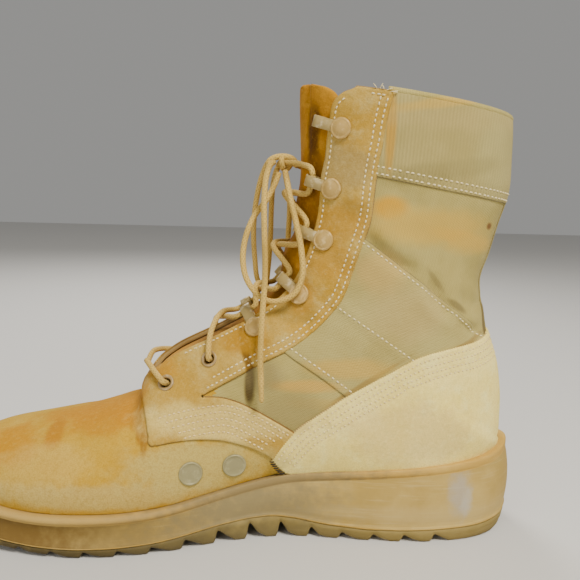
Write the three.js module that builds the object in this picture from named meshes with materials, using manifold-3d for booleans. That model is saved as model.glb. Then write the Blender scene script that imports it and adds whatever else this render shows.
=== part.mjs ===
// Combat boot for the right foot: suede and canvas upper on a two-part ripple sole.
// Millimetres. +X points to the toe, +Y to the medial (inner) side and +Z up; the floor is z = 0.
// The tables below measure x from the back of the heel; the finished boot is moved so that the
// origin lies on the floor under the middle of the heel.

import * as THREE from 'three';
import { mergeVertices } from 'three/addons/utils/BufferGeometryUtils.js';
import Module from 'manifold-3d';

const wasm = await Module();
wasm.setup();

// ---------------------------------------------------------------------------
// Driving dimensions
// ---------------------------------------------------------------------------

const HEEL_REST_X = 24;
const CLEARANCE = 0.3;

const UPPER_WALL = 2.2;
const FEATHER_INSET = 3.2;
const HEEL_FEATHER_INSET = 6;
const FEATHER_COLUMNS = 10;

const TONGUE_TOP_FACE = -3.8;
const TONGUE_THICKNESS = 2.4;

const LACE_DIAMETER = 3.1;
const LACE_SIDES = 8;
const LACE_END_GAP = 6.2;
const LACE_OVER_EYELET = 5.6;
const LACE_OVER_EDGE = 4.0;
const LACE_OVER_BAR_EDGE = 4.6;
const LACE_OVER_RIDGE = 3.4;
const LACE_HALF_CROSSING = 1.4;
const KNOT_RADIUS = 5.6;
const EYELET_BORE = 2.6;
const EYELET_BARREL = 3.3;
const EYELET_FLANGE = 5.0;
const EYELET_HOLE = 3.8;
const RIVET_RADIUS = 5.4;
const RIVET_FROM_EDGE = 7.6;
const LOOP_WIDTH = 5.8;
const LOOP_BORE = 2.5;
const LOOP_STRIP = 0.9;
const LOOP_REACH = 13.0;
const LOOP_TOP = 2.0;
const VENT_RADIUS = 6.0;

const COUNTER_LIFT = 0.35;
const COUNTER_THICKNESS = 1.6;

const INSOLE_FROM_FEATHER = 5.6;
const INSOLE_THICKNESS = 3.0;

const RIB_PITCH = 16.6;
const FIRST_NOTCH_X = 42.7;
const RIB_REAR_SLOPE = 1.4;
const RIB_FLAT = 7.0;
const OUTSOLE_FOOT_GROW = -1.0;

// ---------------------------------------------------------------------------
// Small numeric helpers
// ---------------------------------------------------------------------------

// Uniform Catmull-Rom blend of table rows; u counts rows.
function blendRows(rows, u, closed = false) {
  const count = rows.length;
  const last = closed ? count : count - 1;
  const first = Math.min(Math.max(Math.floor(u), 0), last - 1);
  const t = u - first;
  const pick = (i) => rows[closed ? (i + count) % count : Math.min(Math.max(i, 0), count - 1)];
  const [a, b, c, d] = [pick(first - 1), pick(first), pick(first + 1), pick(first + 2)];
  return b.map((value, k) => {
    const slopeIn = (c[k] - a[k]) / 2;
    const slopeOut = (d[k] - b[k]) / 2;
    const rise = c[k] - value;
    const cubic = slopeIn + slopeOut - 2 * rise;
    const square = 3 * rise - 2 * slopeIn - slopeOut;
    return value + t * (slopeIn + t * (square + t * cubic));
  });
}

// Straight-line reading of one column of a table that is sorted on its first column.
function readTable(rows, x, column) {
  let i = 1;
  while (i < rows.length - 1 && rows[i][0] < x) {
    i += 1;
  }
  const [from, to] = [rows[i - 1], rows[i]];
  const t = Math.min(Math.max((x - from[0]) / (to[0] - from[0]), 0), 1);
  return from[column] + (to[column] - from[column]) * t;
}

// ---------------------------------------------------------------------------
// Solid-making helpers
// ---------------------------------------------------------------------------

class Skin {
  constructor() {
    this.positions = [];
  }

  triangle(a, b, c) {
    for (const point of [a, b, c]) {
      this.positions.push(point.x, point.y, point.z);
    }
  }

  quad(a, b, c, d) {
    this.triangle(a, b, c);
    this.triangle(a, c, d);
  }

  geometry() {
    const geometry = new THREE.BufferGeometry();
    geometry.setAttribute('position', new THREE.Float32BufferAttribute(this.positions, 3));
    return dropSlivers(mergeVertices(geometry, 1e-3));
  }
}

// Removes triangles that welding has folded to a line.
function dropSlivers(geometry) {
  const kept = [];
  const index = geometry.index.array;
  for (let i = 0; i < index.length; i += 3) {
    const [a, b, c] = [index[i], index[i + 1], index[i + 2]];
    if (a !== b && b !== c && c !== a) {
      kept.push(a, b, c);
    }
  }
  geometry.setIndex(kept);
  return geometry;
}

function toManifold(geometry) {
  const bare = geometry.clone();
  bare.deleteAttribute('normal');
  bare.deleteAttribute('uv');
  const merged = dropSlivers(mergeVertices(bare, 1e-3));
  return new wasm.Manifold(new wasm.Mesh({
    numProp: 3,
    vertProperties: new Float32Array(merged.attributes.position.array),
    triVerts: new Uint32Array(merged.index.array),
  }));
}

function fromManifold(solid) {
  const mesh = solid.getMesh();
  const geometry = new THREE.BufferGeometry();
  geometry.setAttribute('position', new THREE.BufferAttribute(new Float32Array(mesh.vertProperties), 3));
  geometry.setIndex(new THREE.BufferAttribute(new Uint32Array(mesh.triVerts), 1));
  return geometry;
}

// A shape drawn in side view (x, z) and extruded across the boot from -halfSpan to +halfSpan.
function sideViewPrism(points, halfSpan) {
  const shape = new THREE.Shape(points.map(([x, z]) => new THREE.Vector2(x, z)));
  const geometry = new THREE.ExtrudeGeometry(shape, { depth: 2 * halfSpan, bevelEnabled: false });
  geometry.rotateX(Math.PI / 2);
  geometry.translate(0, halfSpan, 0);
  return geometry;
}

// ---------------------------------------------------------------------------
// Sole outline and heights
// ---------------------------------------------------------------------------

// Plan of the sole's rim: one row per station, with its half widths to the two sides.
// Columns: x on the medial side, medial y, x on the lateral side, lateral y.
const OUTLINE = [
  [-5.6, 0, -5.6, 0],
  [2, 17.5, 2, -17.5],
  [18, 29, 18, -29.5],
  [43, 34, 43, -35.5],
  [72, 33.2, 75, -36.8],
  [100, 30, 105, -38.5],
  [125, 28.6, 134, -42.5],
  [155, 34, 162, -48.5],
  [184, 43, 190, -54],
  [209, 47.6, 214, -56.5],
  [232, 48.6, 236, -55.5],
  [253, 46, 256, -51],
  [272, 41, 274, -44],
  [288, 33.5, 289, -34.5],
  [300.5, 23, 301, -22.5],
  [307.6, 11.5, 307.6, -9.5],
  [310, 1, 310, 1],
];

// Heights along the sole. Columns: x, underside of the tread, top of the outsole, rim of the midsole.
const SOLE_HEIGHTS = [
  [-9, 10.2, 11.2, 50.4],
  [-4, 3.6, 10.0, 49.2],
  [1, 0.9, 9.3, 48.0],
  [7, 0, 8.9, 46.8],
  [20, 0, 8.2, 45.2],
  [40, 0, 7.8, 43.1],
  [60, 0, 7.1, 41.2],
  [80, 0, 7.0, 39.3],
  [100, 0, 8.4, 37.6],
  [118, 0, 11.5, 36.1],
  [130, 0, 13.3, 34.3],
  [143, 0, 12.8, 31.8],
  [158, 0, 10.8, 28.5],
  [175, 0, 8.2, 25.2],
  [190, 0, 6.2, 23.0],
  [208, 0, 5.2, 22.0],
  [230, 0, 5.1, 21.8],
  [250, 1.6, 5.8, 21.8],
  [265, 3.0, 7.2, 22.8],
  [280, 4.8, 9.0, 25.0],
  [295, 7.2, 11.4, 27.8],
  [312, 10.6, 14.8, 31.2],
];

const groundZ = (x) => readTable(SOLE_HEIGHTS, x, 1);
const treadZ = (x) => readTable(SOLE_HEIGHTS, x, 2);
const rimZ = (x) => readTable(SOLE_HEIGHTS, x, 3);

const OUTLINE_STEPS = 2 * (OUTLINE.length - 1);

// The outline as one closed loop of table points: up the medial side, back down the lateral one.
const outlineLoop = [
  ...OUTLINE.map((row) => [row[0], row[1]]),
  ...OUTLINE.slice(1, -1).reverse().map((row) => [row[2], row[3]]),
];

// Point `step` of the outline on one side, grown outward by `grow`; step 0 is the heel.
function outlinePoint(side, step, grow) {
  const u = side > 0 ? step / 2 : outlineLoop.length - step / 2;
  const spin = side > 0 ? 1 : -1;
  const at = blendRows(outlineLoop, u % outlineLoop.length, true);
  const before = blendRows(outlineLoop, (u - 0.05 * spin + outlineLoop.length) % outlineLoop.length, true);
  const after = blendRows(outlineLoop, (u + 0.05 * spin + outlineLoop.length) % outlineLoop.length, true);
  const along = new THREE.Vector2(after[0] - before[0], after[1] - before[1]).normalize();
  return new THREE.Vector2(at[0] - side * along.y * grow, at[1] + side * along.x * grow);
}

// A ring of the outline on both sides; growAt and heightAt depend on x.
function outlineRing(growAt, heightAt) {
  const ring = { medial: [], lateral: [] };
  for (let step = 0; step <= OUTLINE_STEPS; step += 1) {
    for (const [name, side] of [['medial', 1], ['lateral', -1]]) {
      const p = outlinePoint(side, step, growAt(outlinePoint(side, step, 0).x));
      if (step === 0 || step === OUTLINE_STEPS) {
        p.y = outlinePoint(1, step, 0).y;
      }
      ring[name].push(new THREE.Vector3(p.x, p.y, heightAt(p.x)));
    }
  }
  return ring;
}

// A closed body from outline rings stacked from bottom to top.
function stackRings(rings) {
  const skin = new Skin();
  for (let k = 0; k < rings.length - 1; k += 1) {
    const [low, high] = [rings[k], rings[k + 1]];
    for (let i = 0; i < OUTLINE_STEPS; i += 1) {
      skin.quad(low.medial[i + 1], low.medial[i], high.medial[i], high.medial[i + 1]);
      skin.quad(low.lateral[i], low.lateral[i + 1], high.lateral[i + 1], high.lateral[i]);
    }
  }
  const [bottom, top] = [rings[0], rings[rings.length - 1]];
  for (let i = 0; i < OUTLINE_STEPS; i += 1) {
    skin.quad(top.lateral[i], top.lateral[i + 1], top.medial[i + 1], top.medial[i]);
    skin.quad(bottom.medial[i + 1], bottom.lateral[i + 1], bottom.lateral[i], bottom.medial[i]);
  }
  return skin.geometry();
}

// How far the upper stands in from the edge of the sole: further at the heel than elsewhere.
function featherInset(x) {
  const t = Math.min(Math.max((x - 5) / 55, 0), 1);
  return HEEL_FEATHER_INSET + (FEATHER_INSET - HEEL_FEATHER_INSET) * t * t * (3 - 2 * t);
}

// Half width of the feather line (where the upper meets the sole) at x, on one side.
function featherHalfWidth(side, x) {
  const points = [];
  for (let step = 0; step <= OUTLINE_STEPS; step += 1) {
    const p = outlinePoint(side, step, -featherInset(outlinePoint(side, step, 0).x));
    points.push([p.x, Math.abs(p.y)]);
  }
  return readTable(points, x, 1);
}

// ---------------------------------------------------------------------------
// Midsole, outsole and insole
// ---------------------------------------------------------------------------

// Wall of the midsole. Columns: share of the height, growth beyond the rim outline.
const MIDSOLE_WALL = [
  [0.0, 1.0],
  [0.16, 2.0],
  [0.74, -0.1],
  [0.82, 0.8],
  [0.95, 0.8],
  [1.0, -0.4],
  [1.0, -2.6],
];

function midsoleGeometry() {
  const rings = MIDSOLE_WALL.map(([share, grow]) => (
    outlineRing(() => grow, (x) => treadZ(x) + share * (rimZ(x) - treadZ(x)))
  ));
  return stackRings(rings);
}

// Height of each notch between the ribs, from the heel to the toe.
const NOTCH_Z = [4.2, 3.8, 3.5, 3.6, 5.7, 8.7, 9.2, 7.0, 4.8, 3.5, 3.2, 3.2, 3.4, 4.2, 5.8, 7.8];

// Side profile of the tread: every rib has a steep rear face, a flat tip and a long front slope.
function treadProfile() {
  const profile = [];
  for (const x of [-14, -9, -6.5, -4, 1, 7]) {
    profile.push([x, groundZ(x)]);
  }
  profile.push([FIRST_NOTCH_X - 9, 0]);
  NOTCH_Z.forEach((notch, i) => {
    const x = FIRST_NOTCH_X + RIB_PITCH * i;
    const tip = groundZ(x + RIB_REAR_SLOPE);
    profile.push([x, notch]);
    profile.push([x + RIB_REAR_SLOPE, tip]);
    profile.push([x + RIB_FLAT, groundZ(x + RIB_FLAT)]);
    profile.push([x + 0.5 * (RIB_FLAT + RIB_PITCH), tip + 0.35 * (notch - tip)]);
  });
  profile.push([316, 12.4]);
  return profile;
}

function outsoleGeometry() {
  const profile = [...treadProfile(), [316, 40], [-14, 40]];
  const ribs = toManifold(sideViewPrism(profile, 80));
  const slab = toManifold(stackRings([
    outlineRing(() => OUTSOLE_FOOT_GROW, () => -4),
    outlineRing(() => OUTSOLE_FOOT_GROW, (x) => groundZ(x) + 0.2),
    outlineRing(() => MIDSOLE_WALL[0][1], (x) => treadZ(x) - CLEARANCE),
  ]));
  return fromManifold(slab.intersect(ribs));
}

function insoleGeometry() {
  const base = (x) => rimZ(x) + CLEARANCE;
  const inset = (x) => -featherInset(x) - INSOLE_FROM_FEATHER;
  return stackRings([
    outlineRing(inset, base),
    outlineRing(inset, (x) => base(x) + INSOLE_THICKNESS),
  ]);
}

// ---------------------------------------------------------------------------
// Form of the upper
// ---------------------------------------------------------------------------

// Sections of the last from the toe to the collar. Each lies in a plane that holds the Y direction
// and runs from a front point on the ridge to a back point, which is on the feather line for the
// foot (backZ is null) and on the back line for the shaft.
// Columns: frontX, frontZ, backX, backZ, ridgeY, medial swell, lateral swell, belly, crown,
// tail power, tail root, throat opening.
const SECTIONS = [
  [306.4, 34.0, 306.4, null, 2, 0.8, 0.8, 0.6, 2.2, 2, 1, 0],
  [303.6, 40.6, 303.6, null, 2.5, 1.2, 1.2, 0.66, 2.2, 2, 1, 0],
  [298, 46.4, 298, null, 3, 1.5, 1.5, 0.70, 2.2, 2, 1, 0],
  [290, 50.2, 290, null, 4, 1.6, 1.6, 0.72, 2.2, 2, 1, 0],
  [279, 53.5, 279, null, 5, 1.6, 1.6, 0.74, 2.2, 2, 1, 0],
  [262, 56.4, 262, null, 5, 1.6, 1.6, 0.75, 2.15, 2, 1, 0],
  [242, 60.2, 242, null, 4.5, 1.6, 1.8, 0.76, 2.1, 2, 1, 0],
  [222, 65.1, 222, null, 3.5, 1.6, 2.0, 0.76, 2.05, 2, 1, 0],
  [208, 70.2, 208, null, 2, 1.8, 2.2, 0.76, 2.05, 2, 1, 0],
  [203, 74.4, 196, null, 1, 2.0, 2.4, 0.76, 2.1, 2, 1, 0],
  [200, 81.6, 182, null, 0.5, 2.4, 2.6, 0.75, 2.2, 2, 1, 0],
  [196.6, 89.0, 166, null, 0, 3.2, 2.8, 0.74, 2.35, 2, 1, 0.028],
  [192.0, 93.6, 148, null, 0, 4.6, 3.0, 0.72, 2.5, 2, 1, 0.034],
  [185.4, 98.4, 128, null, 0, 6.0, 3.2, 0.70, 2.6, 2, 1, 0.032],
  [176, 103.6, 104, null, 0, 5.4, 2.8, 0.68, 2.65, 2, 1, 0.030],
  [166, 108.8, 80, null, 0, 4.2, 2.6, 0.66, 2.7, 2, 1, 0.030],
  [156, 114.6, 58, null, 0, 3.8, 2.6, 0.64, 2.7, 2.2, 1, 0.030],
  [147, 120.5, 38, null, 0, 5.2, 4.2, 0.60, 2.65, 2.8, 1, 0.033],
  [140, 127.0, 22, null, 0, 9.8, 9.4, 0.56, 2.55, 3.6, 1, 0.040],
  [135.3, 133.6, 10, null, 0, 17.0, 17.0, 0.53, 2.4, 4.4, 1, 0.050],
  [132.0, 140.8, 3, null, 0, 26.1, 26.2, 0.51, 2.3, 4.8, 1, 0.062],
  [129.2, 148.6, 2.6, 50.5, 0, 33.8, 34.0, 0.50, 2.2, 2.3, 0.47, 0.074],
  [126.9, 156.9, 2.3, 62, 0, 33.4, 34.0, 0.50, 2.15, 2.3, 0.47, 0.085],
  [125, 165.2, 3.0, 76, 0, 33.0, 33.4, 0.49, 2.1, 2.3, 0.47, 0.093],
  [123.3, 173.6, 6.1, 93.5, 0, 32.4, 32.6, 0.48, 2.05, 2.3, 0.47, 0.10],
  [122, 182.2, 11.9, 110, 0, 32.0, 32.0, 0.48, 2.0, 2.3, 0.46, 0.11],
  [121.3, 191, 15.4, 125.5, 0, 32.0, 32.0, 0.48, 2.0, 2.4, 0.45, 0.115],
  [121.2, 200, 18.2, 140, 0, 32.4, 32.4, 0.48, 2.0, 2.4, 0.44, 0.12],
  [121.4, 209, 14.3, 155, 0, 33.2, 33.2, 0.49, 2.0, 2.4, 0.43, 0.13],
  [121.8, 218, 10.5, 171, 0, 34.0, 34.0, 0.49, 2.0, 2.4, 0.42, 0.135],
  [122.3, 226.4, 6.2, 187, 0, 34.8, 34.8, 0.49, 2.0, 2.4, 0.42, 0.14],
  [122.7, 233.4, 6.2, 205, 0, 35.4, 35.4, 0.49, 2.0, 2.4, 0.42, 0.155],
  [122.9, 237.8, 6.6, 217, 0, 35.8, 35.8, 0.49, 2.0, 2.4, 0.42, 0.195],
  [123, 240.5, 7.2, 225, 0, 36.0, 36.0, 0.49, 2.0, 2.4, 0.42, 0.25],
  [123.3, 247, 7.7, 235, 0, 36.2, 36.2, 0.49, 2.0, 2.4, 0.42, 0.25],
];

const COLLAR_ROW = SECTIONS.length - 2;
const THROAT_ROW = SECTIONS.findIndex((row) => row[11] > 0) - 1;
const FIRST_BACK_ROW = SECTIONS.findIndex((row) => row[3] !== null);

// The same rows with the feather line filled in: backZ and the end half widths of both sides.
const sectionRows = SECTIONS.map((row) => {
  const onFeather = row[3] === null;
  const backZ = onFeather ? rimZ(row[2]) + CLEARANCE : row[3];
  const ends = onFeather ? [featherHalfWidth(1, row[2]), featherHalfWidth(-1, row[2])] : [0, 0];
  return [row[0], row[1], row[2], backZ, ...row.slice(4), ...ends];
});

function sectionAt(u) {
  const [frontX, frontZ, backX, backZ, ridgeY, swellM, swellL, belly, crown, power, root, throat,
    endM, endL] = blendRows(sectionRows, u);
  return {
    frontX, frontZ, backX, backZ, ridgeY, swellM, swellL, belly, crown, power, root, throat,
    endM: Math.max(endM, 0), endL: Math.max(endL, 0),
  };
}

// Point of the last's surface; tau runs from 0 on the ridge to 1 on the feather or back line.
function lastPoint(side, u, tau) {
  const s = sectionAt(u);
  const end = side > 0 ? s.endM : s.endL;
  const wide = end + (side > 0 ? s.swellM : s.swellL);
  const ridge = side * s.ridgeY;
  let reach;
  if (tau < s.belly) {
    reach = ridge + (wide - ridge) * (1 - (1 - tau / s.belly) ** s.crown) ** (1 / s.crown);
  } else {
    const share = Math.min((tau - s.belly) / (1 - s.belly), 1);
    reach = end + (wide - end) * Math.max(1 - share ** s.power, 0) ** s.root;
  }
  return new THREE.Vector3(
    s.frontX + (s.backX - s.frontX) * tau,
    side * reach,
    s.frontZ + (s.backZ - s.frontZ) * tau,
  );
}

function rawNormal(side, u, tau) {
  const du = 0.12;
  const dt = 0.012;
  const low = Math.max(tau - dt, 0);
  const high = Math.min(tau + dt, 1);
  const along = lastPoint(side, Math.min(u + du, SECTIONS.length - 1), tau)
    .sub(lastPoint(side, Math.max(u - du, 0), tau));
  const across = lastPoint(side, u, high).sub(lastPoint(side, u, low));
  return across.cross(along).multiplyScalar(side).normalize();
}

function lastNormal(side, u, tau) {
  const n = rawNormal(side, u, tau);
  const closedBack = tau > 0.9999 && sectionAt(u).endM < 1e-6;
  if (tau < 0.0001 || closedBack) {
    n.add(rawNormal(-side, u, tau)).normalize();
  }
  return n;
}

function formPoint(side, u, tau, grow) {
  return lastPoint(side, u, tau).addScaledVector(lastNormal(side, u, tau), grow);
}

// Columns are closer together at the ridge and at the bottom, where the section turns fastest.
const spread = (q) => (1 - Math.cos(Math.PI * q)) / 2;

// Points of both sides: one row per u, from tau = start(u) to tau = stop(u).
function formGrids(uValues, columns, start, stop) {
  const grids = {};
  for (const side of [1, -1]) {
    grids[side] = uValues.map((u) => {
      const row = [];
      for (let k = 0; k <= columns; k += 1) {
        row.push(lastPoint(side, u, start(u) + (stop(u) - start(u)) * spread(k / columns)));
      }
      return row;
    });
  }
  return grids;
}

// One side's grid moved along the normals of the grid itself, so that facets stay parallel.
function growGrid(grids, side, grow) {
  const [grid, other] = [grids[side], grids[-side]];
  const last = grid.length - 1;
  return grid.map((row, i) => row.map((point, k) => {
    const end = row.length - 1;
    const meets = point.distanceTo(other[i][k]) < 1e-6;
    const next = k < end ? row[k + 1] : (meets ? other[i][end - 1] : point);
    const before = k > 0 ? row[k - 1] : (meets ? other[i][1] : point);
    const up = grid[Math.min(i + 1, last)][k].clone().sub(grid[Math.max(i - 1, 0)][k]);
    const normal = next.clone().sub(before).cross(up).multiplyScalar(side).normalize();
    return point.clone().addScaledVector(normal, grow);
  }));
}

function coverGrid(skin, grid, flip) {
  for (let i = 0; i < grid.length - 1; i += 1) {
    for (let k = 0; k < grid[i].length - 1; k += 1) {
      const [a, b, c, d] = [grid[i][k], grid[i][k + 1], grid[i + 1][k + 1], grid[i + 1][k]];
      skin.quad(...(flip ? [a, d, c, b] : [a, b, c, d]));
    }
  }
}

function joinEdges(skin, outer, inner, flip) {
  for (let i = 0; i < outer.length - 1; i += 1) {
    const corners = [outer[i], outer[i + 1], inner[i + 1], inner[i]];
    skin.quad(...(flip ? corners.reverse() : corners));
  }
}

// A wall that follows the last between two growths. openFront and openBack say which rows have an
// open edge at the front and at the back; the last row is always an open edge.
function formShell({ uValues, columns, start, stop, outerGrow, innerGrow, openFront, openBack }) {
  const skin = new Skin();
  const caps = {};
  const grids = formGrids(uValues, columns, start, stop);
  for (const side of [1, -1]) {
    const flip = side < 0;
    const outer = growGrid(grids, side, outerGrow);
    const inner = growGrid(grids, side, innerGrow);
    coverGrid(skin, outer, flip);
    coverGrid(skin, inner, !flip);
    const front = uValues.map((u, i) => i).filter((i) => openFront(uValues[i]));
    const back = uValues.map((u, i) => i).filter((i) => openBack(uValues[i]));
    joinEdges(skin, front.map((i) => outer[i][0]), front.map((i) => inner[i][0]), flip);
    joinEdges(skin, back.map((i) => outer[i][columns]), back.map((i) => inner[i][columns]), !flip);
    const end = uValues.length - 1;
    joinEdges(skin, outer[end], inner[end], flip);
    caps[side] = { outer: outer[0], inner: inner[0] };
  }
  return { skin, caps };
}

const rowsBetween = (from, to) => Array.from({ length: to - from + 1 }, (_, i) => from + i);

// The shaft above the counter is so even that it needs only every second row.
const upperRows = rowsBetween(0, COLLAR_ROW).filter((row) => row !== 29 && row !== 31);

function upperGeometry() {
  const { skin, caps } = formShell({
    uValues: upperRows,
    columns: FEATHER_COLUMNS,
    start: (u) => sectionRows[u][11],
    stop: () => 1,
    outerGrow: 0,
    innerGrow: -UPPER_WALL,
    openFront: (u) => u >= THROAT_ROW,
    openBack: (u) => u <= FIRST_BACK_ROW,
  });
  const [medial, lateral] = [caps[1], caps[-1]];
  for (let k = 0; k < FEATHER_COLUMNS; k += 1) {
    skin.quad(medial.outer[k + 1], medial.outer[k], lateral.outer[k], lateral.outer[k + 1]);
    skin.quad(medial.inner[k], medial.inner[k + 1], lateral.inner[k + 1], lateral.inner[k]);
  }
  const foot = FEATHER_COLUMNS;
  skin.quad(medial.outer[foot], lateral.outer[foot], lateral.inner[foot], medial.inner[foot]);
  return skin.geometry();
}

// Half widths of the tongue, from its buried front end to its top. Columns: row of the last, tau.
const TONGUE_WIDTH = [
  [10.2, 0.05],
  [11, 0.10],
  [12, 0.13],
  [14, 0.15],
  [17, 0.17],
  [20, 0.21],
  [24, 0.27],
  [28, 0.30],
  [29.5, 0.26],
  [30.8, 0.19],
  [31.9, 0.145],
  [32.6, 0.10],
  [32.95, 0.04],
];

function tongueGeometry() {
  const uValues = [...TONGUE_WIDTH.map((row) => row[0]), 13, 15.5, 18.5, 21.5, 26]
    .sort((a, b) => a - b);
  const { skin, caps } = formShell({
    uValues,
    columns: 5,
    start: () => 0,
    stop: (u) => readTable(TONGUE_WIDTH, u, 1),
    outerGrow: TONGUE_TOP_FACE,
    innerGrow: TONGUE_TOP_FACE - TONGUE_THICKNESS,
    openFront: () => false,
    openBack: () => true,
  });
  joinEdges(skin, caps[1].inner, caps[1].outer, false);
  joinEdges(skin, caps[-1].inner, caps[-1].outer, true);
  return skin.geometry();
}

// Side-view outline of the heel counter's upper edge: x, z from its front corner up over the heel.
const COUNTER_EDGE = [
  [131, 44.5],
  [122.5, 58.5],
  [109.4, 70.2],
  [94.6, 80.8],
  [72, 94],
  [57, 102.3],
  [42, 106.4],
  [24, 109.5],
  [8, 113.5],
  [-12, 114.5],
];
const COUNTER_ABOVE_RIM = 0.9;

function counterGeometry() {
  const { skin, caps } = formShell({
    uValues: rowsBetween(12, 27),
    columns: FEATHER_COLUMNS,
    start: (u) => sectionRows[u][11],
    stop: () => 1,
    outerGrow: COUNTER_LIFT + COUNTER_THICKNESS,
    innerGrow: COUNTER_LIFT,
    openFront: () => true,
    openBack: (u) => u <= FIRST_BACK_ROW,
  });
  joinEdges(skin, caps[1].inner, caps[1].outer, false);
  joinEdges(skin, caps[-1].inner, caps[-1].outer, true);
  const shell = toManifold(skin.geometry());
  const frontX = COUNTER_EDGE[0][0];
  const rimLine = SOLE_HEIGHTS.map((row) => row[0]).filter((x) => x > -5 && x < frontX - 2);
  const foot = [-12, ...rimLine, frontX - 0.4].map((x) => [x, rimZ(x) + COUNTER_ABOVE_RIM]);
  const outline = sideViewPrism([...COUNTER_EDGE, ...foot], 60);
  return fromManifold(shell.intersect(toManifold(outline)));
}

// ---------------------------------------------------------------------------
// Places on the last for the hardware
// ---------------------------------------------------------------------------

// Row and tau of the section plane through a point of the side view.
function locate(x, z) {
  const offLine = (u) => {
    const s = sectionAt(u);
    return (x - s.frontX) * (s.backZ - s.frontZ) - (z - s.frontZ) * (s.backX - s.frontX);
  };
  let [low, high] = [6, COLLAR_ROW];
  const startSign = Math.sign(offLine(low));
  for (let i = 0; i < 40; i += 1) {
    const middle = (low + high) / 2;
    if (Math.sign(offLine(middle)) === startSign) {
      low = middle;
    } else {
      high = middle;
    }
  }
  const s = sectionAt(low);
  const span = (s.backX - s.frontX) ** 2 + (s.backZ - s.frontZ) ** 2;
  const tau = ((x - s.frontX) * (s.backX - s.frontX) + (z - s.frontZ) * (s.backZ - s.frontZ)) / span;
  return { u: low, tau };
}

// The tau that lies `reach` millimetres over the surface from the throat edge of row u.
function tauFromEdge(side, u, reach) {
  let tau = sectionAt(u).throat;
  let walked = 0;
  let last = lastPoint(side, u, tau);
  while (walked < reach) {
    tau += 0.001;
    const next = lastPoint(side, u, tau);
    walked += next.distanceTo(last);
    last = next;
  }
  return tau;
}

// Local frame on the upper: X to the throat, Z out of the leather, Y along the throat. Y points down
// on the medial side and up on the lateral one, because the frame is right-handed on both. `tilt`
// turns X up the throat, in degrees.
function seat(side, u, tau, tilt = 0) {
  const outward = lastNormal(side, u, tau);
  const along = lastPoint(side, u + 0.2, tau).sub(lastPoint(side, u - 0.2, tau)).normalize();
  const forward = outward.clone().cross(along).multiplyScalar(side).normalize();
  const up = outward.clone().cross(forward).normalize();
  const basis = new THREE.Matrix4().makeBasis(forward, up, outward);
  basis.multiply(new THREE.Matrix4().makeRotationZ(-side * THREE.MathUtils.degToRad(tilt)));
  return basis.setPosition(lastPoint(side, u, tau));
}

// Lacing stations from the toe upward, by x and z in side view. An eyelet stands exactly there; a
// loop keeps its distance from the throat's edge on the section through that place, and tilts its
// strip up the throat.
const LACING = [
  { kind: 'eyelet', x: 186.6, z: 84.0, tilt: 0 },
  { kind: 'eyelet', x: 164.1, z: 97.0, tilt: 0 },
  { kind: 'loop', x: 143.6, z: 115.9, tilt: 0 },
  { kind: 'loop', x: 120.2, z: 133.9, tilt: 18 },
  { kind: 'loop', x: 107.3, z: 161.6, tilt: 15 },
  { kind: 'loop', x: 102.2, z: 186.4, tilt: 17 },
  { kind: 'loop', x: 98.4, z: 216.0, tilt: 12 },
];

function stationSeat(side, station) {
  const place = locate(station.x, station.z);
  const tau = station.kind === 'eyelet' ? place.tau : tauFromEdge(side, place.u, RIVET_FROM_EDGE);
  return seat(side, place.u, tau, station.tilt);
}

const SIDES = [['medial', 1], ['lateral', -1]];
const seats = {};
for (const [name, side] of SIDES) {
  seats[name] = LACING.map((station) => stationSeat(side, station));
}

// Turns a lathe profile of (radius, height) pairs about the seat's outward axis.
function turned(profile, segments) {
  const points = profile.map(([r, h]) => new THREE.Vector2(r, h));
  const geometry = new THREE.LatheGeometry(points, segments);
  geometry.rotateX(Math.PI / 2);
  return geometry;
}

function eyeletGeometry() {
  return turned([
    [EYELET_BORE, -2.5],
    [EYELET_BARREL, -2.5],
    [EYELET_BARREL, 0.6],
    [EYELET_FLANGE, 0.6],
    [EYELET_FLANGE - 0.3, 1.4],
    [EYELET_BORE, 1.6],
    [EYELET_BORE, -2.5],
  ], 10);
}

// Rivet cap with a strip that is folded round the lace in front of it.
function laceLoopGeometry() {
  const cap = turned([
    [0, 0.8],
    [RIVET_RADIUS, 0.8],
    [RIVET_RADIUS, 1.7],
    [RIVET_RADIUS - 1.4, 2.7],
    [0, 3.0],
  ], 9);
  const outer = LOOP_BORE + LOOP_STRIP;
  const top = LOOP_TOP;
  const centreZ = top - outer;
  const outline = new THREE.Shape();
  outline.moveTo(3, top);
  outline.lineTo(3, top - LOOP_STRIP);
  outline.lineTo(LOOP_REACH - LOOP_BORE - 0.6, top - LOOP_STRIP);
  outline.absarc(LOOP_REACH, centreZ, outer, Math.PI * 0.82, Math.PI * 2.5, false);
  outline.lineTo(3, top);
  const hole = new THREE.Path();
  hole.absarc(LOOP_REACH, centreZ, LOOP_BORE, 0, Math.PI * 2, true);
  outline.holes.push(hole);
  const strip = new THREE.ExtrudeGeometry(outline, {
    depth: LOOP_WIDTH, bevelEnabled: false, curveSegments: 6,
  });
  strip.rotateX(Math.PI / 2);
  strip.translate(0, LOOP_WIDTH / 2, 0);
  return fromManifold(toManifold(cap).add(toManifold(strip)));
}

const LOOP_CENTRE = new THREE.Vector3(LOOP_REACH, 0, LOOP_TOP - LOOP_BORE - LOOP_STRIP);

function placed(geometry, matrix) {
  const copy = geometry.clone();
  copy.applyMatrix4(matrix);
  return copy;
}

// ---------------------------------------------------------------------------
// Laces
// ---------------------------------------------------------------------------

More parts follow.
